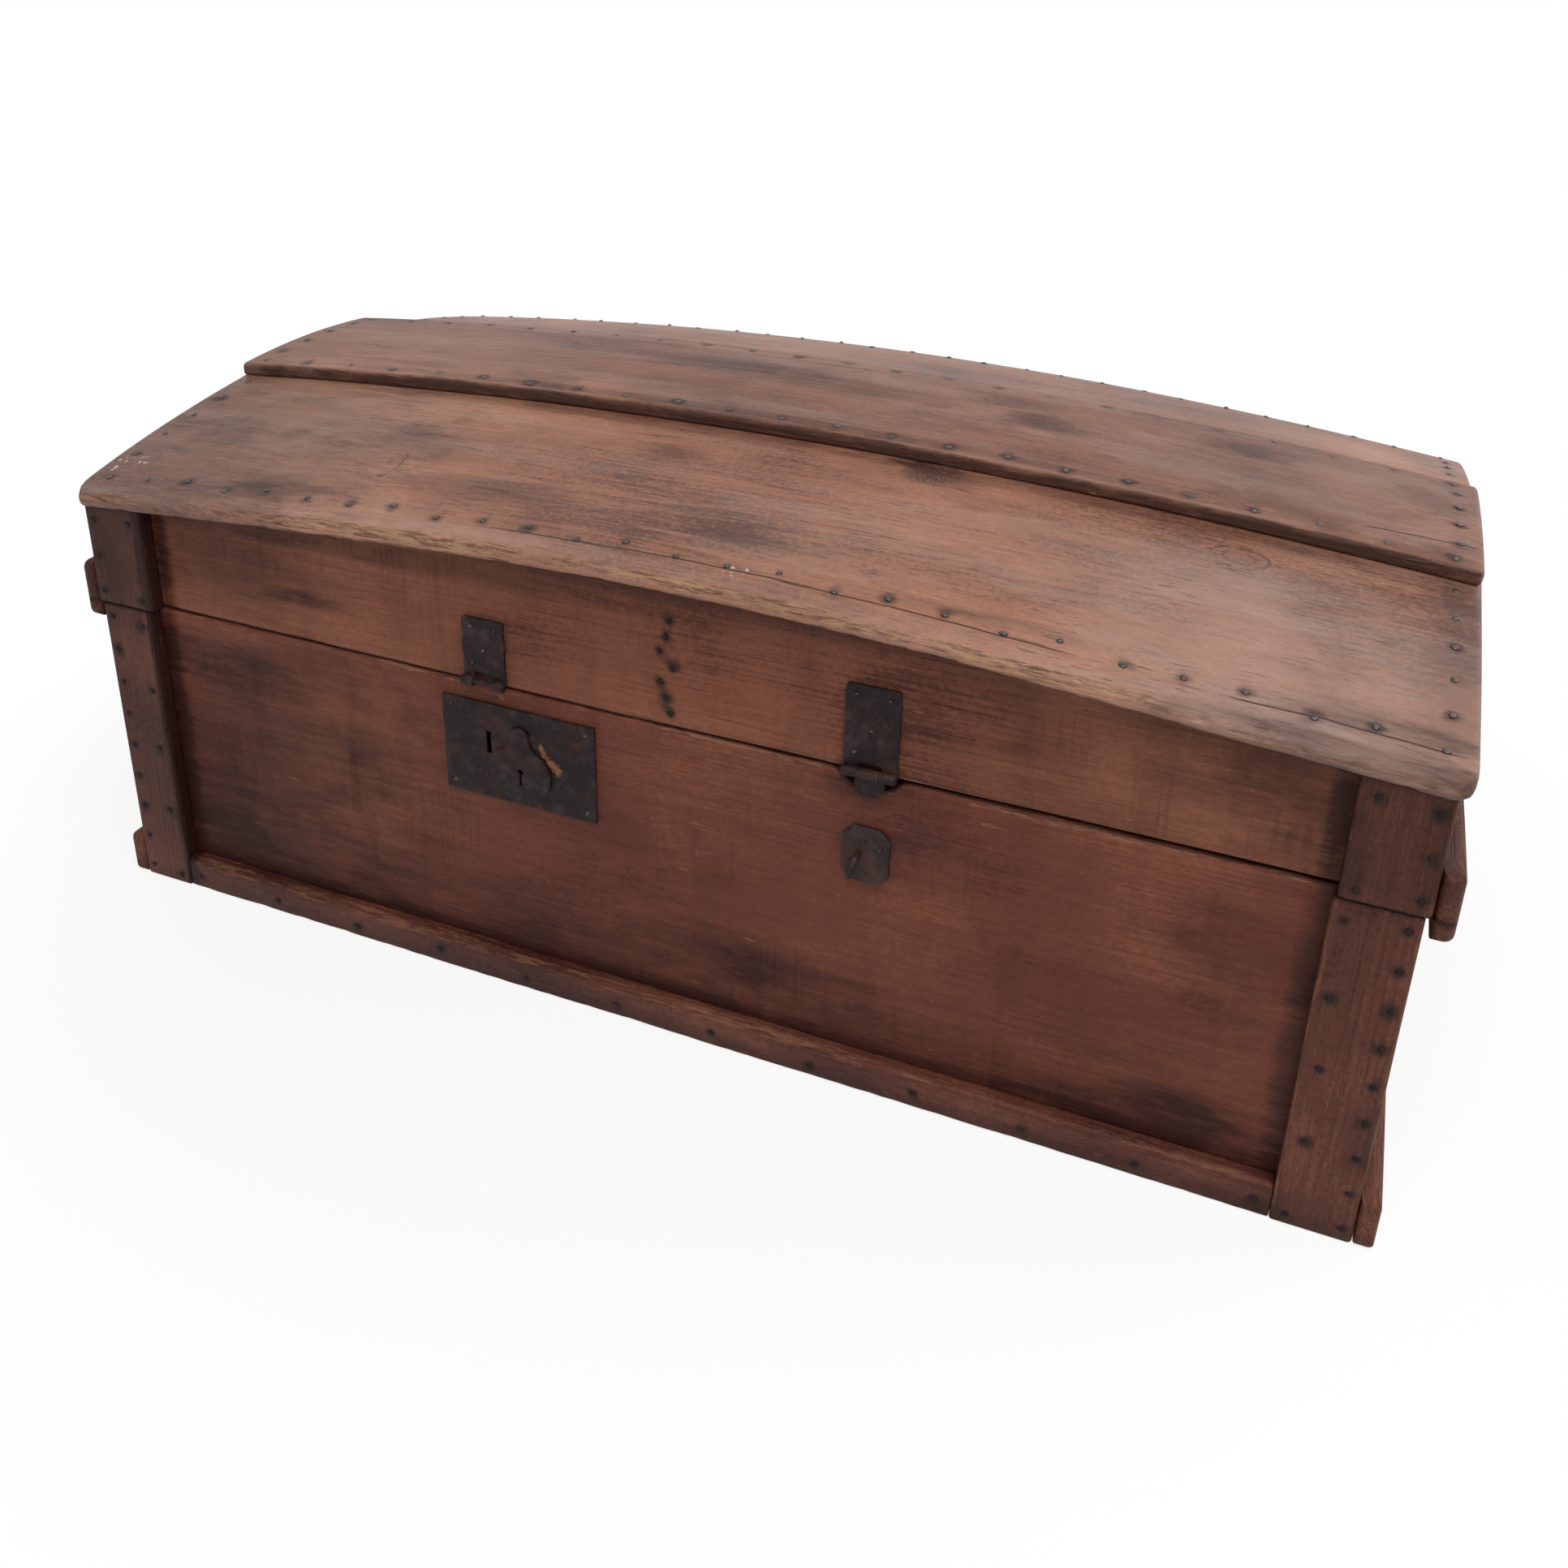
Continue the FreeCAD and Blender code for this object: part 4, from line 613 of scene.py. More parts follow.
batten_pine = pine("batten_pine", BATTEN_STAIN, BATTEN_PALE, BATTEN_DARK, RUBBED_BATTEN, rubbing=0.7,
                   grime=0.65, roughness=0.46, figure=1.1, smeared=0.25, pitting=0.4, soot=0.4,
                   # Painted shade: the tall band on the left battens' inner side faces, and the line along
                   # the split.
                   stains_and_shade=[(-0.4955, 0.2, 0.008, 0.9, 1.3), (0.0, 0.0, 2.0, 0.016, 0.5),
                           (-0.53, 0.36, 0.10, 0.10, 0.4), (0.53, 0.36, 0.08, 0.09, 0.5),
                           (0.0, 0.2885, 9.0, 0.003, 0.8)])
worn_board("front_left_batten", 2, [0.0030, 0.0024, 0.0006, 0.0006], batten_pine,
           "carcass", 13, ease=0.002)
worn_board("front_right_batten", 2, [0.0022, 0.0034, 0.0006, 0.0006], batten_pine,
           "carcass", 14, ease=0.002)


# Foot rails and foot cleats
# Pine strips round the foot, their upper edges planed round, nailed to the walls and the floor's edge.

worn_board("front_foot_rail", 0, [0.002, 0.0006, 0.0006, 0.0055], batten_pine,
           "carcass", 15, chips=(0.001, 0, 0, 0.002))
worn_board("rear_foot_rail", 0, [0.0006, 0.002, 0.0055, 0.0006], batten_pine,
           "carcass", 16, chips=(0, 0.001, 0.002, 0))
worn_board("left_foot_cleat", 1, [0.003, 0.0006, 0.0006, 0.006], batten_pine,
           "carcass", 17, ease=0.004)
worn_board("right_foot_cleat", 1, [0.0006, 0.003, 0.006, 0.0006], batten_pine,
           "carcass", 18, ease=0.004)


# Walls of the lid
# A shallow box of pine boards. The ends rise to a gable and the long walls follow the sprung top.

EAVE = 0.3801
ROOF_SLOPE = 0.187
WALL_REACH = 0.308
TOP_BOARD = 0.0142
HEEL = 0.067
SPRING_FRONT = 0.024
SPRING_REAR = 0.034
ROOF_GAP = 0.0002
LIP_WEAR = 0.0026
LIP_FROM = -0.08
LIP_RUN = 0.5


def spring(x, y):
    """Return how far the top is sprung up at a place, most at mid length and towards the back."""
    part = (y + TOP_REACH) / (2 * TOP_REACH)
    bow = (SPRING_FRONT + (SPRING_REAR - SPRING_FRONT) * part) * (1 - (x / TOP_HALF) ** 2)
    return bow + swell(x, y)


def under_top(x, y):
    """Return the height of the underside of the sloping top boards."""
    return EAVE + ROOF_SLOPE * (WALL_REACH - np.abs(y)) + spring(x, y)


def under_cap(x, y):
    """Return the height of the underside of the cap, which lies on the slopes and bridges between."""
    return EAVE + ROOF_SLOPE * (WALL_REACH - np.maximum(np.abs(y), HEEL)) + TOP_BOARD + spring(x, y)


def under_roof(x, y):
    """Return the height of whatever lies over a wall of the lid."""
    return np.where(np.abs(y) < HEEL, under_cap(x, y), under_top(x, y)) - ROOF_GAP


def roof_across(y, x):
    """Return the height of whatever lies over a board that runs across the lid."""
    return under_roof(x, y)


EMBER_STAIN = colour(0.160, 0.0540, 0.0300)
EMBER_PALE = colour(0.243, 0.0950, 0.0530)

lid_front_pine = pine(
    "lid_front_pine", EMBER_STAIN, EMBER_PALE, FOX_DARK, RUBBED_WALL, rubbing=0.6, grime=0.3,
    roughness=0.46, figure=0.75, smeared=0.15, pitting=0.35, runs=0.22, soot=0.5,
    # Painted shade: the lines under the nose, runs by the battens, the split, and under each hasp's
    # knuckles.
    stains_and_shade=[(0.266, 0.365, 0.022, 0.05, 0.2), (0.30, 0.350, 0.03, 0.04, 0.15),
            (-0.40, 0.345, 0.08, 0.035, 0.3), (-0.336, 0.328, 0.045, 0.010, 0.4),
            (0.45, 0.35, 0.06, 0.05, 0.35), (0.36, 0.33, 0.18, 0.09, 0.3),
            (-0.42, 0.33, 0.12, 0.08, 0.3), (-0.30, 0.385, 0.3, 0.012, 0.5),
            (0.1, 0.405, 0.3, 0.012, 0.5), (-0.488, 0.34, 0.010, 0.2, 0.7),
            (0.488, 0.34, 0.010, 0.2, 0.6), (0.0, 0.2885, 9.0, 0.0026, 0.9),
            (-0.166, 0.318, 0.028, 0.036, 0.6), (-0.166, 0.292, 0.020, 0.012, 1.2),
            (NOTCH_X, 0.328, 0.030, 0.042, 0.6), (NOTCH_X, 0.292, 0.026, 0.012, 1.0)])


def lid_lip(x, y):
    """Return the lower edge of the lid's front board, worn back towards its right end."""
    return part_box("lid_front_board")[0].z + LIP_WEAR * np.clip((x - LIP_FROM) / LIP_RUN, 0, 1)


worn_board("lid_front_board", 0, [0.0024, 0.001, 0.0004, 0.0004], lid_front_pine,
           "lid", 21, inner="right", low=lid_lip, high=under_roof)
worn_board("lid_back_board", 0, [0.001, 0.0018, 0.0004, 0.0004], wall_pine,
           "lid", 22, inner="left", high=under_roof)
worn_board("lid_left_end", 1, [0.0018, 0.001, 0.0004, 0.0004], wall_pine,
           "lid", 23, inner="right", high=roof_across)
worn_board("lid_right_end", 1, [0.001, 0.0018, 0.0004, 0.0004], wall_pine,
           "lid", 24, inner="left", high=roof_across)


# Rib of the lid
# A bare pine board across the middle of the lid, arched out below, which carries the long top boards.

RIB_HALF_SPAN = 0.236
RIB_RISE = 0.112


def rib_arch(y, x):
    """Return the lower edge of the rib: an arch between two feet on the lid's lower edge."""
    bend = (RIB_HALF_SPAN ** 2 + RIB_RISE ** 2) / (2 * RIB_RISE)
    off = np.clip(np.abs(y), 0, RIB_HALF_SPAN)
    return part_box("lid_rib")[0].z + np.sqrt(bend ** 2 - off ** 2) - (bend - RIB_RISE)


worn_board("lid_rib", 1, [0.001] * 4, bare_pine, "lid", 26, low=rib_arch, high=roof_across)


# Battens and cleats of the lid
# The corner battens go on up the lid, cut at the split, and a thick cleat on each end laps down over
# the split as a stop and a grip. All pine, nailed.

for number, node in enumerate(("lid_left_batten", "lid_right_batten")):
    worn_board(node, 2, [0.0028, 0.0028, 0.0006, 0.0006], batten_pine, "lid", 27 + number,
               end=under_roof, ease=0.002)
worn_board("lid_left_cleat", 1, [0.007, 0.0008, 0.0008, 0.007], batten_pine, "lid", 31,
           ease=0.007, sway=0.0006)
worn_board("lid_right_cleat", 1, [0.0008, 0.007, 0.007, 0.0008], batten_pine, "lid", 32,
           ease=0.007, sway=0.0006)


# Sloping top boards
# Two long pine boards sprung over the lid's walls and nailed down all round. Their noses are worn to
# bare straw-coloured wood, least at the right. A grey haze, partly dust and partly painted sheen, lies
# over them, and shade is painted along the foot of the cap's edge.

NOSE_ROLL = 0.028
NOSE_DROP = 0.0032
SUN_STAIN = colour(0.268, 0.114, 0.068)
SUN_PALE = colour(0.378, 0.184, 0.114)
SUN_DARK = colour(0.078, 0.029, 0.020)
STRAW = colour(0.315, 0.180, 0.103)

top_pine = pine(
    "top_pine", SUN_STAIN, SUN_PALE, SUN_DARK, STRAW, rubbing=0.95, grime=0.5, roughness=0.44,
    figure=0.95, smeared=0.4, pitting=0.6, haze_and_sheen=0.24, flat="Y", firm=0.72, shine=0.3, soot=-0.6,
    bare_run=(0.22, 0.42),
    knots=[(-0.304, -0.168, 0.020, 0.008, 0.5, 0.6), (-0.291, -0.227, 0.006, 0.017, 0.0, 1.0),
           (0.144, -0.108, 0.022, 0.018, 1.3, 0.2), (0.390, -0.134, 0.020, 0.014, 0.15, 0.7),
           (0.390, -0.134, 0.011, 0.008, 0.2, 0.5), (-0.069, -0.150, 0.015, 0.009, 0.6, 0.2)],
    # These grey places are partly dust and partly painted sheen: most at the right front, along the nose
    # and at the left.
    faded_and_sheen=[(0.44, -0.24, 0.18, 0.10, 0.42), (0.30, -0.16, 0.16, 0.05, 0.08),
           (0.0, -0.304, 2.0, 0.012, 0.22), (-0.46, -0.20, 0.20, 0.12, 0.22)],
    paint=[(-0.545, -0.269, 0.014), (-0.528, -0.262, 0.010), (0.05, -0.29, 0.012)],
    # The two thin lines at y -0.10 are painted shade along the foot of the cap's edge.
    stains_and_shade=[(-0.379, -0.278, 0.06, 0.014, 0.6), (-0.30, -0.19, 0.06, 0.035, 0.3),
            (0.144, -0.108, 0.05, 0.022, 0.45), (-0.15, -0.10, 0.28, 0.010, 0.55),
            (0.30, -0.10, 0.26, 0.012, 0.6), (0.50, -0.28, 0.07, 0.016, 0.5),
            (-0.20, -0.245, 0.12, 0.020, 0.4), (-0.07, -0.150, 0.035, 0.018, 0.4),
            (0.23, -0.277, 0.10, 0.007, 0.35), (-0.48, -0.20, 0.20, 0.16, 0.5),
            (0.550, -0.22, 0.030, 0.30, 0.35), (0.50, -0.308, 0.14, 0.014, 0.65)],
    cracks=[(-0.170, -0.2905, 0.120, -0.2880, 0.0010), (0.070, -0.2895, 0.310, -0.2900, 0.0009),
            (0.40, -0.2900, 0.56, -0.2860, 0.0010)])


def over_top(x, y):
    """Return the height of a sloping board's upper face, rubbed down towards its nose."""
    near_nose = np.clip((np.abs(y) - (TOP_REACH - NOSE_ROLL)) / NOSE_ROLL, 0, 1)
    return under_top(x, y) + TOP_BOARD - NOSE_DROP * near_nose ** 2


worn_board("top_front_board", 0, [0.0030, 0.0008, 0.0008, 0.0066], top_pine, "lid", 33,
           inner="low", low=under_top, high=over_top, chips=(0.0022, 0, 0, 0.0062), ease=0.004,
           corner=(0.018, 0), sway=0.0005, step=0.003)
worn_board("top_rear_board", 0, [0.0008, 0.0030, 0.0066, 0.0008], top_pine, "lid", 34,
           inner="low", low=under_top, high=over_top, chips=(0, 0.0022, 0.0045, 0), ease=0.004,
           corner=(0, 0.018), sway=0.0005, step=0.004)


# Cap board
# A third long board that laps over the upper edges of both slopes, with rounded edges, nailed down
# along both sides and at the ends.

CAP_EDGE = 0.012
CAP_CAMBER = 0.005
cap_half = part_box("top_cap_board")[1].y


def over_cap(x, y):
    """Return the height of the cap's upper face, which is slightly rounded across."""
    edge_top = EAVE + ROOF_SLOPE * (WALL_REACH - cap_half) + TOP_BOARD + CAP_EDGE
    return edge_top + CAP_CAMBER * (1 - (y / cap_half) ** 2) + spring(x, y)


DUSK_STAIN = colour(0.205, 0.086, 0.053)
DUSK_PALE = colour(0.315, 0.152, 0.101)

cap_pine = pine(
    "cap_pine", DUSK_STAIN, DUSK_PALE, SUN_DARK, STRAW, rubbing=0.35, grime=0.65, roughness=0.46,
    figure=0.95, smeared=0.4, pitting=0.6, haze_and_sheen=0.25, flat="Y", shine=0.2, soot=-0.6,
    knots=[(0.209, 0.006, 0.022, 0.016, 0.8, 0.3), (0.165, 0.040, 0.020, 0.012, 0.5, 0.5),
           (0.380, 0.042, 0.018, 0.014, 0.6, 0.3)],
    # These grey places are partly dust and partly painted sheen.
    faded_and_sheen=[(-0.40, 0.0, 0.2, 0.12, 0.08), (0.42, 0.0, 0.2, 0.10, 0.12)],
    # The band at the cap's front edge is partly dark stain and partly painted shade on that face.
    stains_and_shade=[(0.209, 0.006, 0.045, 0.022, 0.6), (0.165, 0.045, 0.05, 0.02, 0.5),
            (0.025, 0.010, 0.10, 0.022, 0.55), (-0.10, 0.03, 0.12, 0.018, 0.45),
            (0.380, 0.042, 0.05, 0.02, 0.5), (0.0, -0.082, 0.5, 0.008, 0.45),
            (0.0, -CAP_REACH, 2.0, 0.0052, 1.1), (0.45, 0.0, 0.25, 0.12, 0.3)],
    cracks=[(0.470, -0.0625, TOP_HALF, -0.055, 0.0012), (-0.40, 0.062, 0.10, 0.070, 0.0007)])
worn_board("top_cap_board", 0, [0.0025, 0.0025, 0.0035, 0.0035], cap_pine, "lid", 37,
           inner="low", low=under_cap, high=over_cap, chips=(0, 0, 0.0015, 0.0015), ease=0.004,
           corner=(0.006, 0.006), sway=0.0005, step=0.0035)


# Nails
# Forged iron nails with low uneven heads, blackened and pitted, driven through the boards and plates.
# The tree sets a head on each point of a mesh of nail places, turned to its facing.

IRON_BLACK = colour(0.0100, 0.0050, 0.0057)
IRON_WORN = colour(0.042, 0.027, 0.027)
IRON_RUST = colour(0.060, 0.024, 0.013)
RAW_RUST = colour(0.215, 0.085, 0.042)


def iron(name, worn_share, rust_share, roughness, rust_marks=(), shine=0.16):
    """Blackened forged iron: mottled scale, pits, rust in the hollows and greyed worn places.

    Rust marks are bare rusty gouges, given as the points of a line in X and Z and a half width.
    """
    material = bpy.data.materials.new(name)
    material.use_nodes = True
    start = Shade(material.node_tree)
    place = start.node("ShaderNodeTexCoord", output="Object")
    x, z = place.parts()[::2]
    scale = place.cloud((70, 70, 70), 4, 0.65)
    pits = place.cloud((420, 420, 420), 3, 0.6)
    patch = place.cloud((26, 26, 26), 3, 0.6)
    shade = start.mix(IRON_BLACK, IRON_WORN, scale.between(0.45, 0.68) * worn_share)
    rust = (patch * 0.6 + pits * 0.4).between(0.50, 0.62) * rust_share
    shade = start.mix(shade, IRON_RUST, rust)
    height = scale * 1.2 + pits * 0.8
    broken = place.cloud((330, 330, 330), 3, 0.7)
    for points, half in rust_marks:
        for (x_from, z_from), (x_to, z_to) in zip(points, points[1:]):
            long = math.hypot(x_to - x_from, z_to - z_from)
            way = ((x_to - x_from) / long, (z_to - z_from) / long)
            run = ((x - x_from) * way[0] + (z - z_from) * way[1]).math("MAXIMUM", 0.0)
            run = run.math("MINIMUM", long)
            off_x = x - x_from - run * way[0]
            off_z = z - z_from - run * way[1]
            far = (off_x * off_x + off_z * off_z) ** 0.5
            gouge = (far + (broken - 0.5) * half * 2.6).between(half, half * 0.3)
            shade = start.mix(shade, RAW_RUST, gouge * 0.9)
            height = height - gouge * 0.9
    gloss = roughness + (pits - 0.5) * 0.35 + rust * 0.25
    dress(material, shade, gloss, height, 0.7, shine)
    return material


# The plate nails' heads are lightened all over, as wear and as a painted highlight.
worn_highlit_plate_nail_iron = iron("worn_highlit_plate_nail_iron", 3.0, 0.2, 0.40, shine=0.4)
# The top nails' heads are greyed, partly as rubbed iron and partly as a painted highlight.
rubbed_highlit_nail_iron = iron("rubbed_highlit_nail_iron", 1.6, 0.2, 0.34, shine=0.8)
nail_iron = iron("nail_iron", 0.15, 0.3, 0.62)

WALL_RISE = 0.24
TOP_RISE = 0.28
PLATE_RISE = 0.7
HEAD_SINK = 0.0002

nail_tree = bpy.data.node_groups.new("driven_nails", "GeometryNodeTree")
nail_sockets = {}
for label, kind, default in (("Places", "NodeSocketGeometry", None), ("Rise", "NodeSocketFloat", WALL_RISE),
                             ("Crown", "NodeSocketFloat", 0.5), ("Unevenness", "NodeSocketFloat", 0.0011),
                             ("Iron", "NodeSocketMaterial", None), ("Seed", "NodeSocketInt", 4)):
    socket = nail_tree.interface.new_socket(label, in_out="INPUT", socket_type=kind)
    nail_sockets[label] = socket.identifier
    if default is not None:
        socket.default_value = default
nail_tree.interface.new_socket("Heads", in_out="OUTPUT", socket_type="NodeSocketGeometry")

asked = {socket.name: Shade(nail_tree, socket)
         for socket in nail_tree.nodes.new("NodeGroupInput").outputs}
grow = Shade(nail_tree).node
cone = grow("GeometryNodeMeshCone", {"fill_type": "TRIANGLE_FAN"},
            {"Vertices": 8, "Side Segments": 2, "Fill Segments": 1, "Radius Top": asked["Crown"],
             "Radius Bottom": 1.0, "Depth": asked["Rise"]}, "Mesh")
given_way = grow("GeometryNodeInputNamedAttribute", {"data_type": "FLOAT_VECTOR"}, {"Name": "facing"},
                 "Attribute")
given_size = grow("GeometryNodeInputNamedAttribute", {"data_type": "FLOAT"}, {"Name": "radius"},
                  "Attribute")
upright = grow("FunctionNodeAlignRotationToVector", {"axis": "Z"}, {"Vector": given_way})
turn = grow("FunctionNodeRandomValue", {"data_type": "FLOAT"},
            {"Min": 0.0, "Max": math.tau, "Seed": asked["Seed"]}, 1)
about = grow("FunctionNodeAxisAngleToRotation", None, {"Axis": (0, 0, 1), "Angle": turn})
turned = grow("FunctionNodeRotateRotation", {"rotation_space": "LOCAL"},
              {"Rotation": upright, "Rotate By": about})
squash = grow("FunctionNodeRandomValue", {"data_type": "FLOAT_VECTOR"},
              {"Min": (0.55, 0.55, 0.45), "Max": (0.84, 0.84, 0.95), "Seed": asked["Seed"]})
sized = grow("ShaderNodeVectorMath", {"operation": "SCALE"}, {0: squash, "Scale": given_size})
placed = grow("GeometryNodeInstanceOnPoints", None,
              {"Points": asked["Places"], "Instance": cone, "Rotation": turned, "Scale": sized})
real = grow("GeometryNodeRealizeInstances", None, {"Geometry": placed})
rough = grow("ShaderNodeTexNoise", None, {"Scale": 210.0, "Detail": 1.0}, "Color")
centred = grow("ShaderNodeVectorMath", {"operation": "SUBTRACT"}, {0: rough, 1: (0.5, 0.5, 0.5)})
dented = grow("ShaderNodeVectorMath", {"operation": "SCALE"}, {0: centred, "Scale": asked["Unevenness"]})
beaten = grow("GeometryNodeSetPosition", None, {"Geometry": real, "Offset": dented})
smooth = grow("GeometryNodeSetShadeSmooth", None, {"Geometry": beaten})
blacked = grow("GeometryNodeSetMaterial", None, {"Geometry": smooth, "Material": asked["Iron"]})
nail_tree.links.new(blacked.socket, nail_tree.nodes.new("NodeGroupOutput").inputs["Heads"])

top_groups = ["top_edge_nails", "top_end_nails", "cap_nails"]
plate_groups = ["plate_nails", "hasp_nails", "hinge_lower_nails", "hinge_upper_nails"]
wall_groups = [node for node in nail_groups if node not in top_groups + plate_groups]
for name, body, among, metal, rise in (
        ("carcass_nail_heads", "carcass", wall_groups, nail_iron, WALL_RISE),
        ("lid_nail_heads", "lid", wall_groups, nail_iron, WALL_RISE),
        ("top_nail_heads", "lid", top_groups, rubbed_highlit_nail_iron, TOP_RISE),
        ("lock_nail_heads", "carcass", plate_groups, worn_highlit_plate_nail_iron, PLATE_RISE),
        ("hasp_nail_heads", "lid", plate_groups, worn_highlit_plate_nail_iron, PLATE_RISE)):
    groups = [node for node in among if node in frame["record"]["behaviour"]["bodies"][body]]
    driven = [nail for node in groups for nail in nails[node]]
    mesh = bpy.data.meshes.new(name)
    mesh.from_pydata([head - HEAD_SINK * facing for head, facing, radius in driven], [], [])
    mark(mesh, "facing", [facing for head, facing, radius in driven])
    mark(mesh, "radius", [radius for head, facing, radius in driven])
    heads = add(name, mesh)
    hammer = heads.modifiers.new("driven", "NODES")
    hammer.node_group = nail_tree
    hammer[nail_sockets["Iron"]] = metal
    hammer[nail_sockets["Rise"]] = rise
    settle(heads, hammer)
    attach(heads, body)
    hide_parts(*groups)


# Hinges
# Two wrought iron strap hinges on the back, each a pair of leaves rolled round a pin and nailed on.

DENT_SEED = 5
DENT_CELL = 0.005
DENT_RATE = 95
DENT_HALVINGS = 4
FLAT_ANGLE = math.radians(1)
EDGE_ANGLE = math.radians(35)
CREASE_ANGLE = math.radians(40)

black_iron = iron("black_iron", 0.7, 0.4, 0.5)
noise.seed_set(DENT_SEED)


def forged(node, body, material, round_off=0.0006, dents=0.0):
    """Stand a CAD fitting's shape in as forged iron, with edges hammered round and faces dented inwards."""
    shape = bmesh.new()
    shape.from_mesh(frame["nodes"][node].data)
    bmesh.ops.remove_doubles(shape, verts=shape.verts, dist=MERGE)
    bmesh.ops.dissolve_limit(shape, angle_limit=FLAT_ANGLE, verts=shape.verts, edges=shape.edges)
    sharp = [edge for edge in shape.edges
             if len(edge.link_faces) == 2 and edge.calc_face_angle() > EDGE_ANGLE]
    bmesh.ops.bevel(shape, geom=sharp, offset=round_off, segments=2, profile=0.6, affect="EDGES",
                    clamp_overlap=True)
    bmesh.ops.triangulate(shape, faces=shape.faces)
    if dents:
        for _ in range(DENT_HALVINGS):
            long_edges = [edge for edge in shape.edges if edge.calc_length() > DENT_CELL]
            bmesh.ops.subdivide_edges(shape, edges=long_edges, cuts=1)
            bmesh.ops.triangulate(shape, faces=shape.faces)
        for vert in shape.verts:
            dent = dents * noise.noise_vector(vert.co * DENT_RATE)
            vert.co += Vector((dent.x, abs(dent.y), dent.z))
    mesh = bpy.data.meshes.new(node + "_forged")
    shape.to_mesh(mesh)
    shape.free()
    mesh.polygons.foreach_set("use_smooth", [True] * len(mesh.polygons))
    mesh.set_sharp_from_angle(angle=CREASE_ANGLE)
    mesh.materials.append(material)
    fitting = add(node + "_forged", mesh)
    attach(fitting, body)
    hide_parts(node)


for side in ("left", "right"):
    forged(side + "_hinge_lower_leaf", "carcass", black_iron)
    forged(side + "_hinge_upper_leaf", "lid", black_iron)
    forged(side + "_hinge_pin", "carcass", black_iron, 0.0004)


# Hasps
# Two iron plates with rolled knuckles, nailed to the lid's front. The left one has lost its swinging
# leaf, and the right one keeps a short tongue that hangs into the notch.

for side in ("left", "right"):
    forged(side + "_hasp_plate", "lid", black_iron, dents=0.0006)
    forged(side + "_hasp_pin", "lid", black_iron, 0.0004)
forged("right_hasp_tongue", "hasp_tongue", black_iron)


# Lock
# A nailed iron plate over a case set in the front board, with a sliding bolt. A pear-shaped cover
# hangs on a rivet over the keyhole, and has scraped the plate beside it to rust.

plate_iron = iron("plate_iron", 0.6, 0.55, 0.5, rust_marks=[
    ([(-0.1170, 0.2420), (-0.1130, 0.2340), (-0.1080, 0.2290)], 0.0032),
    ([(-0.1080, 0.2290), (-0.1020, 0.2235)], 0.0055)])
cover_iron = iron("cover_iron", 0.7, 0.6, 0.48)
forged("lock_plate", "carcass", plate_iron, 0.0005, dents=0.0006)
forged("lock_case", "carcass", black_iron, 0.0004)
forged("bolt_keeper", "carcass", black_iron, 0.0004)
forged("cover_rivet", "carcass", cover_iron, 0.0004)
forged("keyhole_cover", "keyhole_cover", cover_iron, 0.0005)
forged("lock_bolt", "lock_bolt", black_iron, 0.0004)


# Padlock staple
# A small clipped iron plate nailed below the notch, with the bent stump of a staple driven through it.

staple_iron = iron("staple_iron", 0.6, 0.5, 0.44, shine=0.22)
forged("staple_plate", "carcass", staple_iron, 0.0005, dents=0.0012)
forged("staple_hook", "carcass", staple_iron, 0.0004, dents=0.0005)


# Studio floor, light and camera
# A plain white floor that fades into a white background, one large soft lamp above the front right, a
# weaker cool one behind on the right, and the camera where the photograph was taken from.

CAMERA_PLACE = (0.44294, -1.17596, 0.89192)
CAMERA_TURN = (67.6363, -2.0595, 20.5707)
CAMERA_LENS = 33.738
CAMERA_SHIFT = (-0.03262, -0.18515)
CAMERA_SENSOR = 36.0
FLOOR_HALF = 15
FLOOR_DROP = 0.0005


def looked_at(start):
    """Return 1 for a ray that the viewer sees, straight, mirrored or through, and 0 for lighting."""
    rays = [start.node("ShaderNodeLightPath", output=f"Is {kind} Ray")
            for kind in ("Camera", "Glossy", "Transmission")]
    return (rays[0] + rays[1] + rays[2]).math("MINIMUM", 1.0)


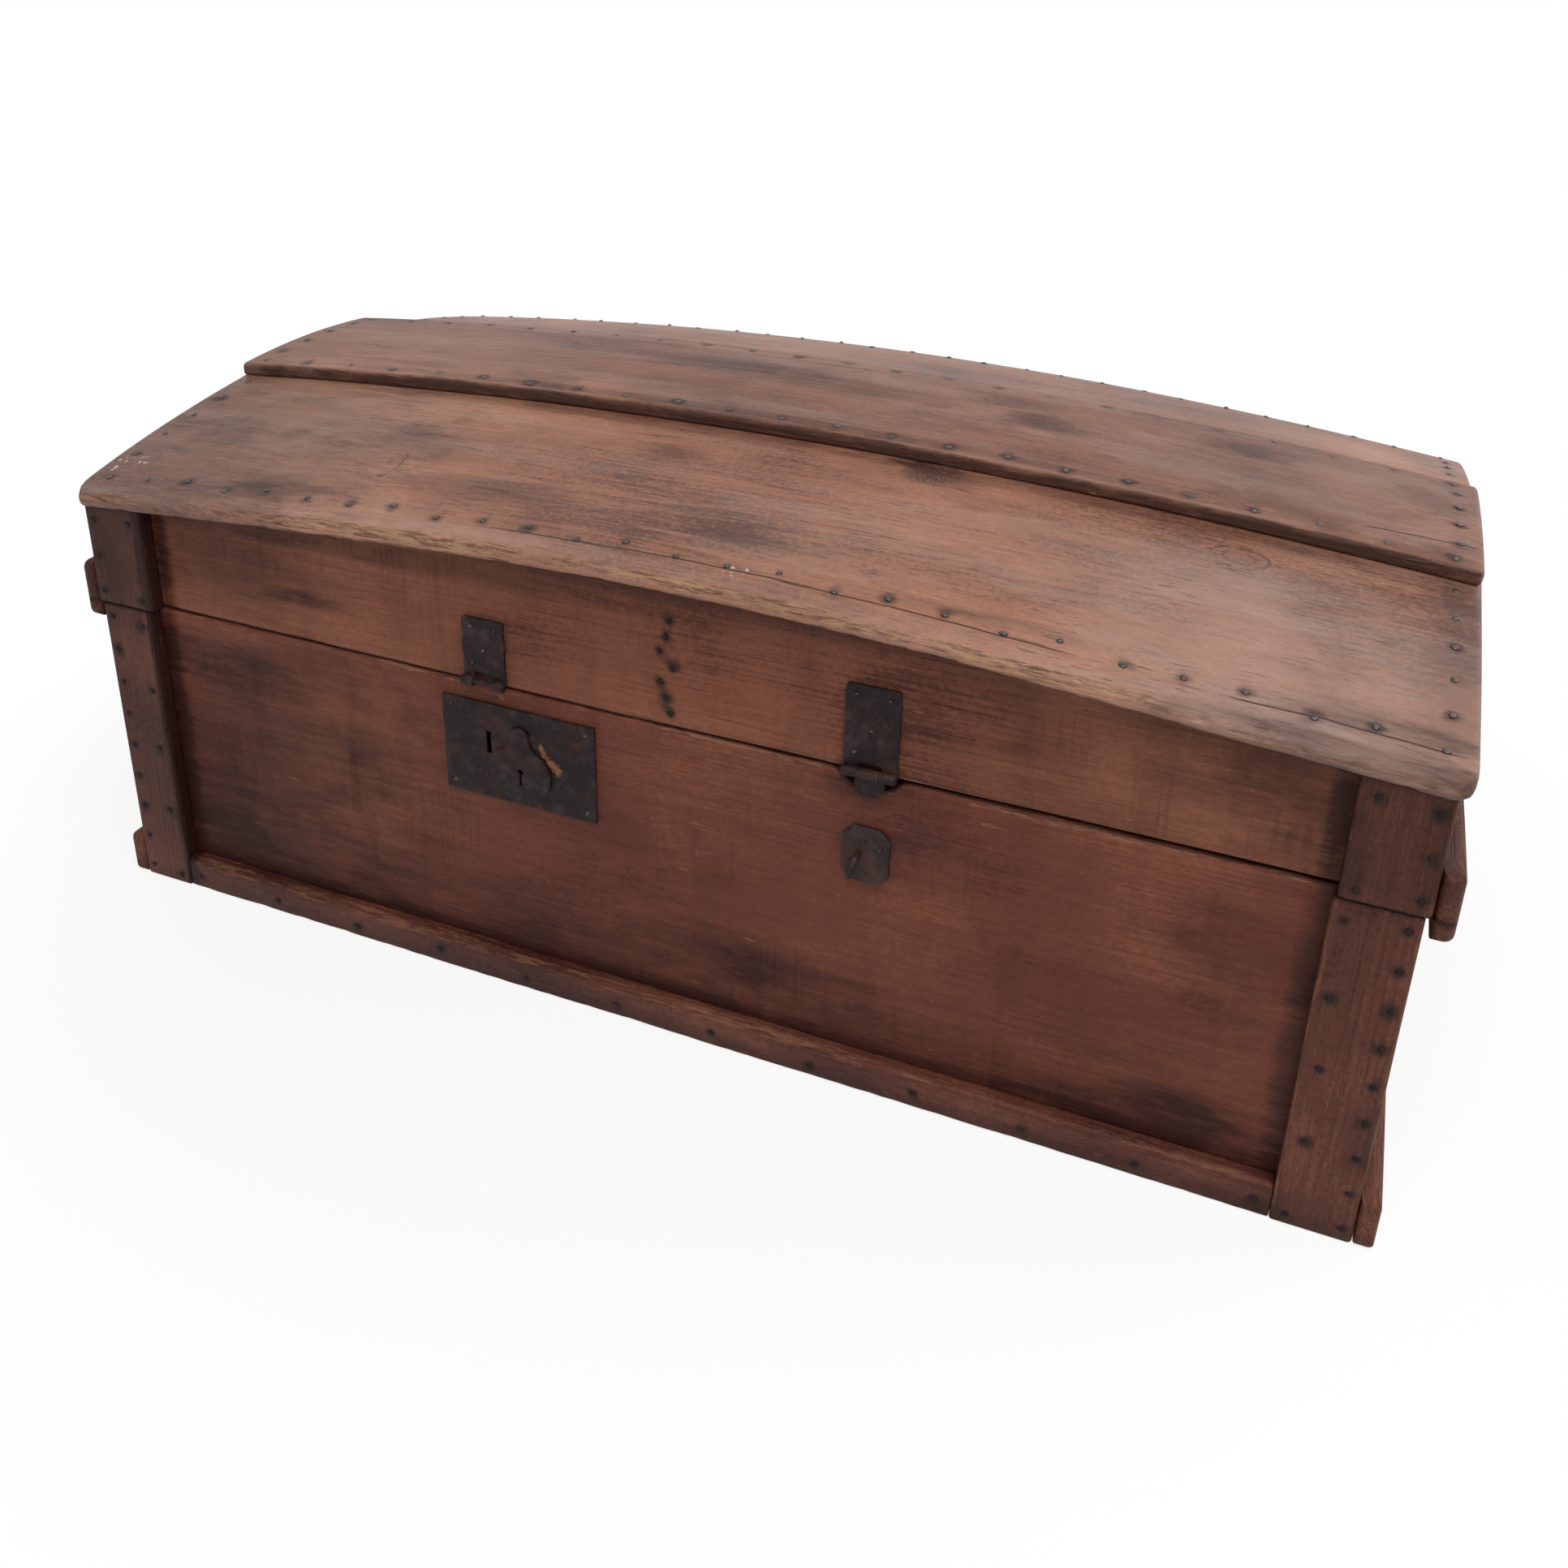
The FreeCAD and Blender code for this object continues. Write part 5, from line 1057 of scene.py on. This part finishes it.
floor_mesh = bpy.data.meshes.new("studio_floor")
floor_mesh.from_pydata([(side * FLOOR_HALF, end * FLOOR_HALF, -FLOOR_DROP)
                        for side, end in ((-1, -1), (1, -1), (1, 1), (-1, 1))], [], [(0, 1, 2, 3)])
floor = add("studio_floor", floor_mesh)
floor_white = bpy.data.materials.new("floor_white")
floor_white.use_nodes = True
start = Shade(floor_white.node_tree)
matt = floor_white.node_tree.nodes["Principled BSDF"]
matt.inputs["Base Color"].default_value = colour(0.88, 0.88, 0.88)
matt.inputs["Roughness"].default_value = 0.9
glow = start.node("ShaderNodeEmission", None, {"Color": colour(1, 1, 1), "Strength": 1.0})
from_middle = start.node("ShaderNodeVectorMath", {"operation": "LENGTH"},
                         {0: start.node("ShaderNodeTexCoord", output="Object")}, output="Value")
whiteness = looked_at(start) * (from_middle.between(0.5, 1.0) * 0.22 + 0.78)
blend = start.node("ShaderNodeMixShader", None,
                   {0: whiteness, 1: Shade(floor_white.node_tree, matt.outputs[0]), 2: glow})
floor_white.node_tree.links.new(blend.socket, floor_white.node_tree.nodes["Material Output"].inputs[0])
floor_mesh.materials.append(floor_white)

sky = bpy.data.worlds.new("studio_sky")
sky.use_nodes = True
bpy.context.scene.world = sky
backdrop = sky.node_tree.nodes["Background"]
backdrop.inputs["Color"].default_value = colour(1, 1, 1)
level = looked_at(Shade(sky.node_tree)) * 0.55 + 0.45
sky.node_tree.links.new(level.socket, backdrop.inputs["Strength"])

for name, spot, aim, wide, power, tint in (
        ("key_lamp", (1.0, -1.4, 2.5), (0.1, -0.1, 0.25), 2.2, 62, (1.0, 0.98, 0.95)),
        ("back_lamp", (2.1, 1.9, 1.5), (0.2, 0, 0.4), 2.4, 18, (0.90, 0.94, 1.0))):
    lamp = bpy.data.lights.new(name, "AREA")
    lamp.shape = "DISK"
    lamp.size = wide
    lamp.energy = power
    lamp.color = tint
    stand = add(name, lamp)
    stand.location = spot
    stand.rotation_euler = (Vector(aim) - Vector(spot)).to_track_quat("-Z", "Y").to_euler()

lens = bpy.data.cameras.new("camera")
lens.lens = CAMERA_LENS
lens.sensor_width = CAMERA_SENSOR
lens.shift_x, lens.shift_y = CAMERA_SHIFT
camera = add("camera", lens)
camera.location = CAMERA_PLACE
camera.rotation_euler = [math.radians(turn) for turn in CAMERA_TURN]
bpy.context.scene.camera = camera
bpy.context.scene.view_settings.view_transform = "Standard"
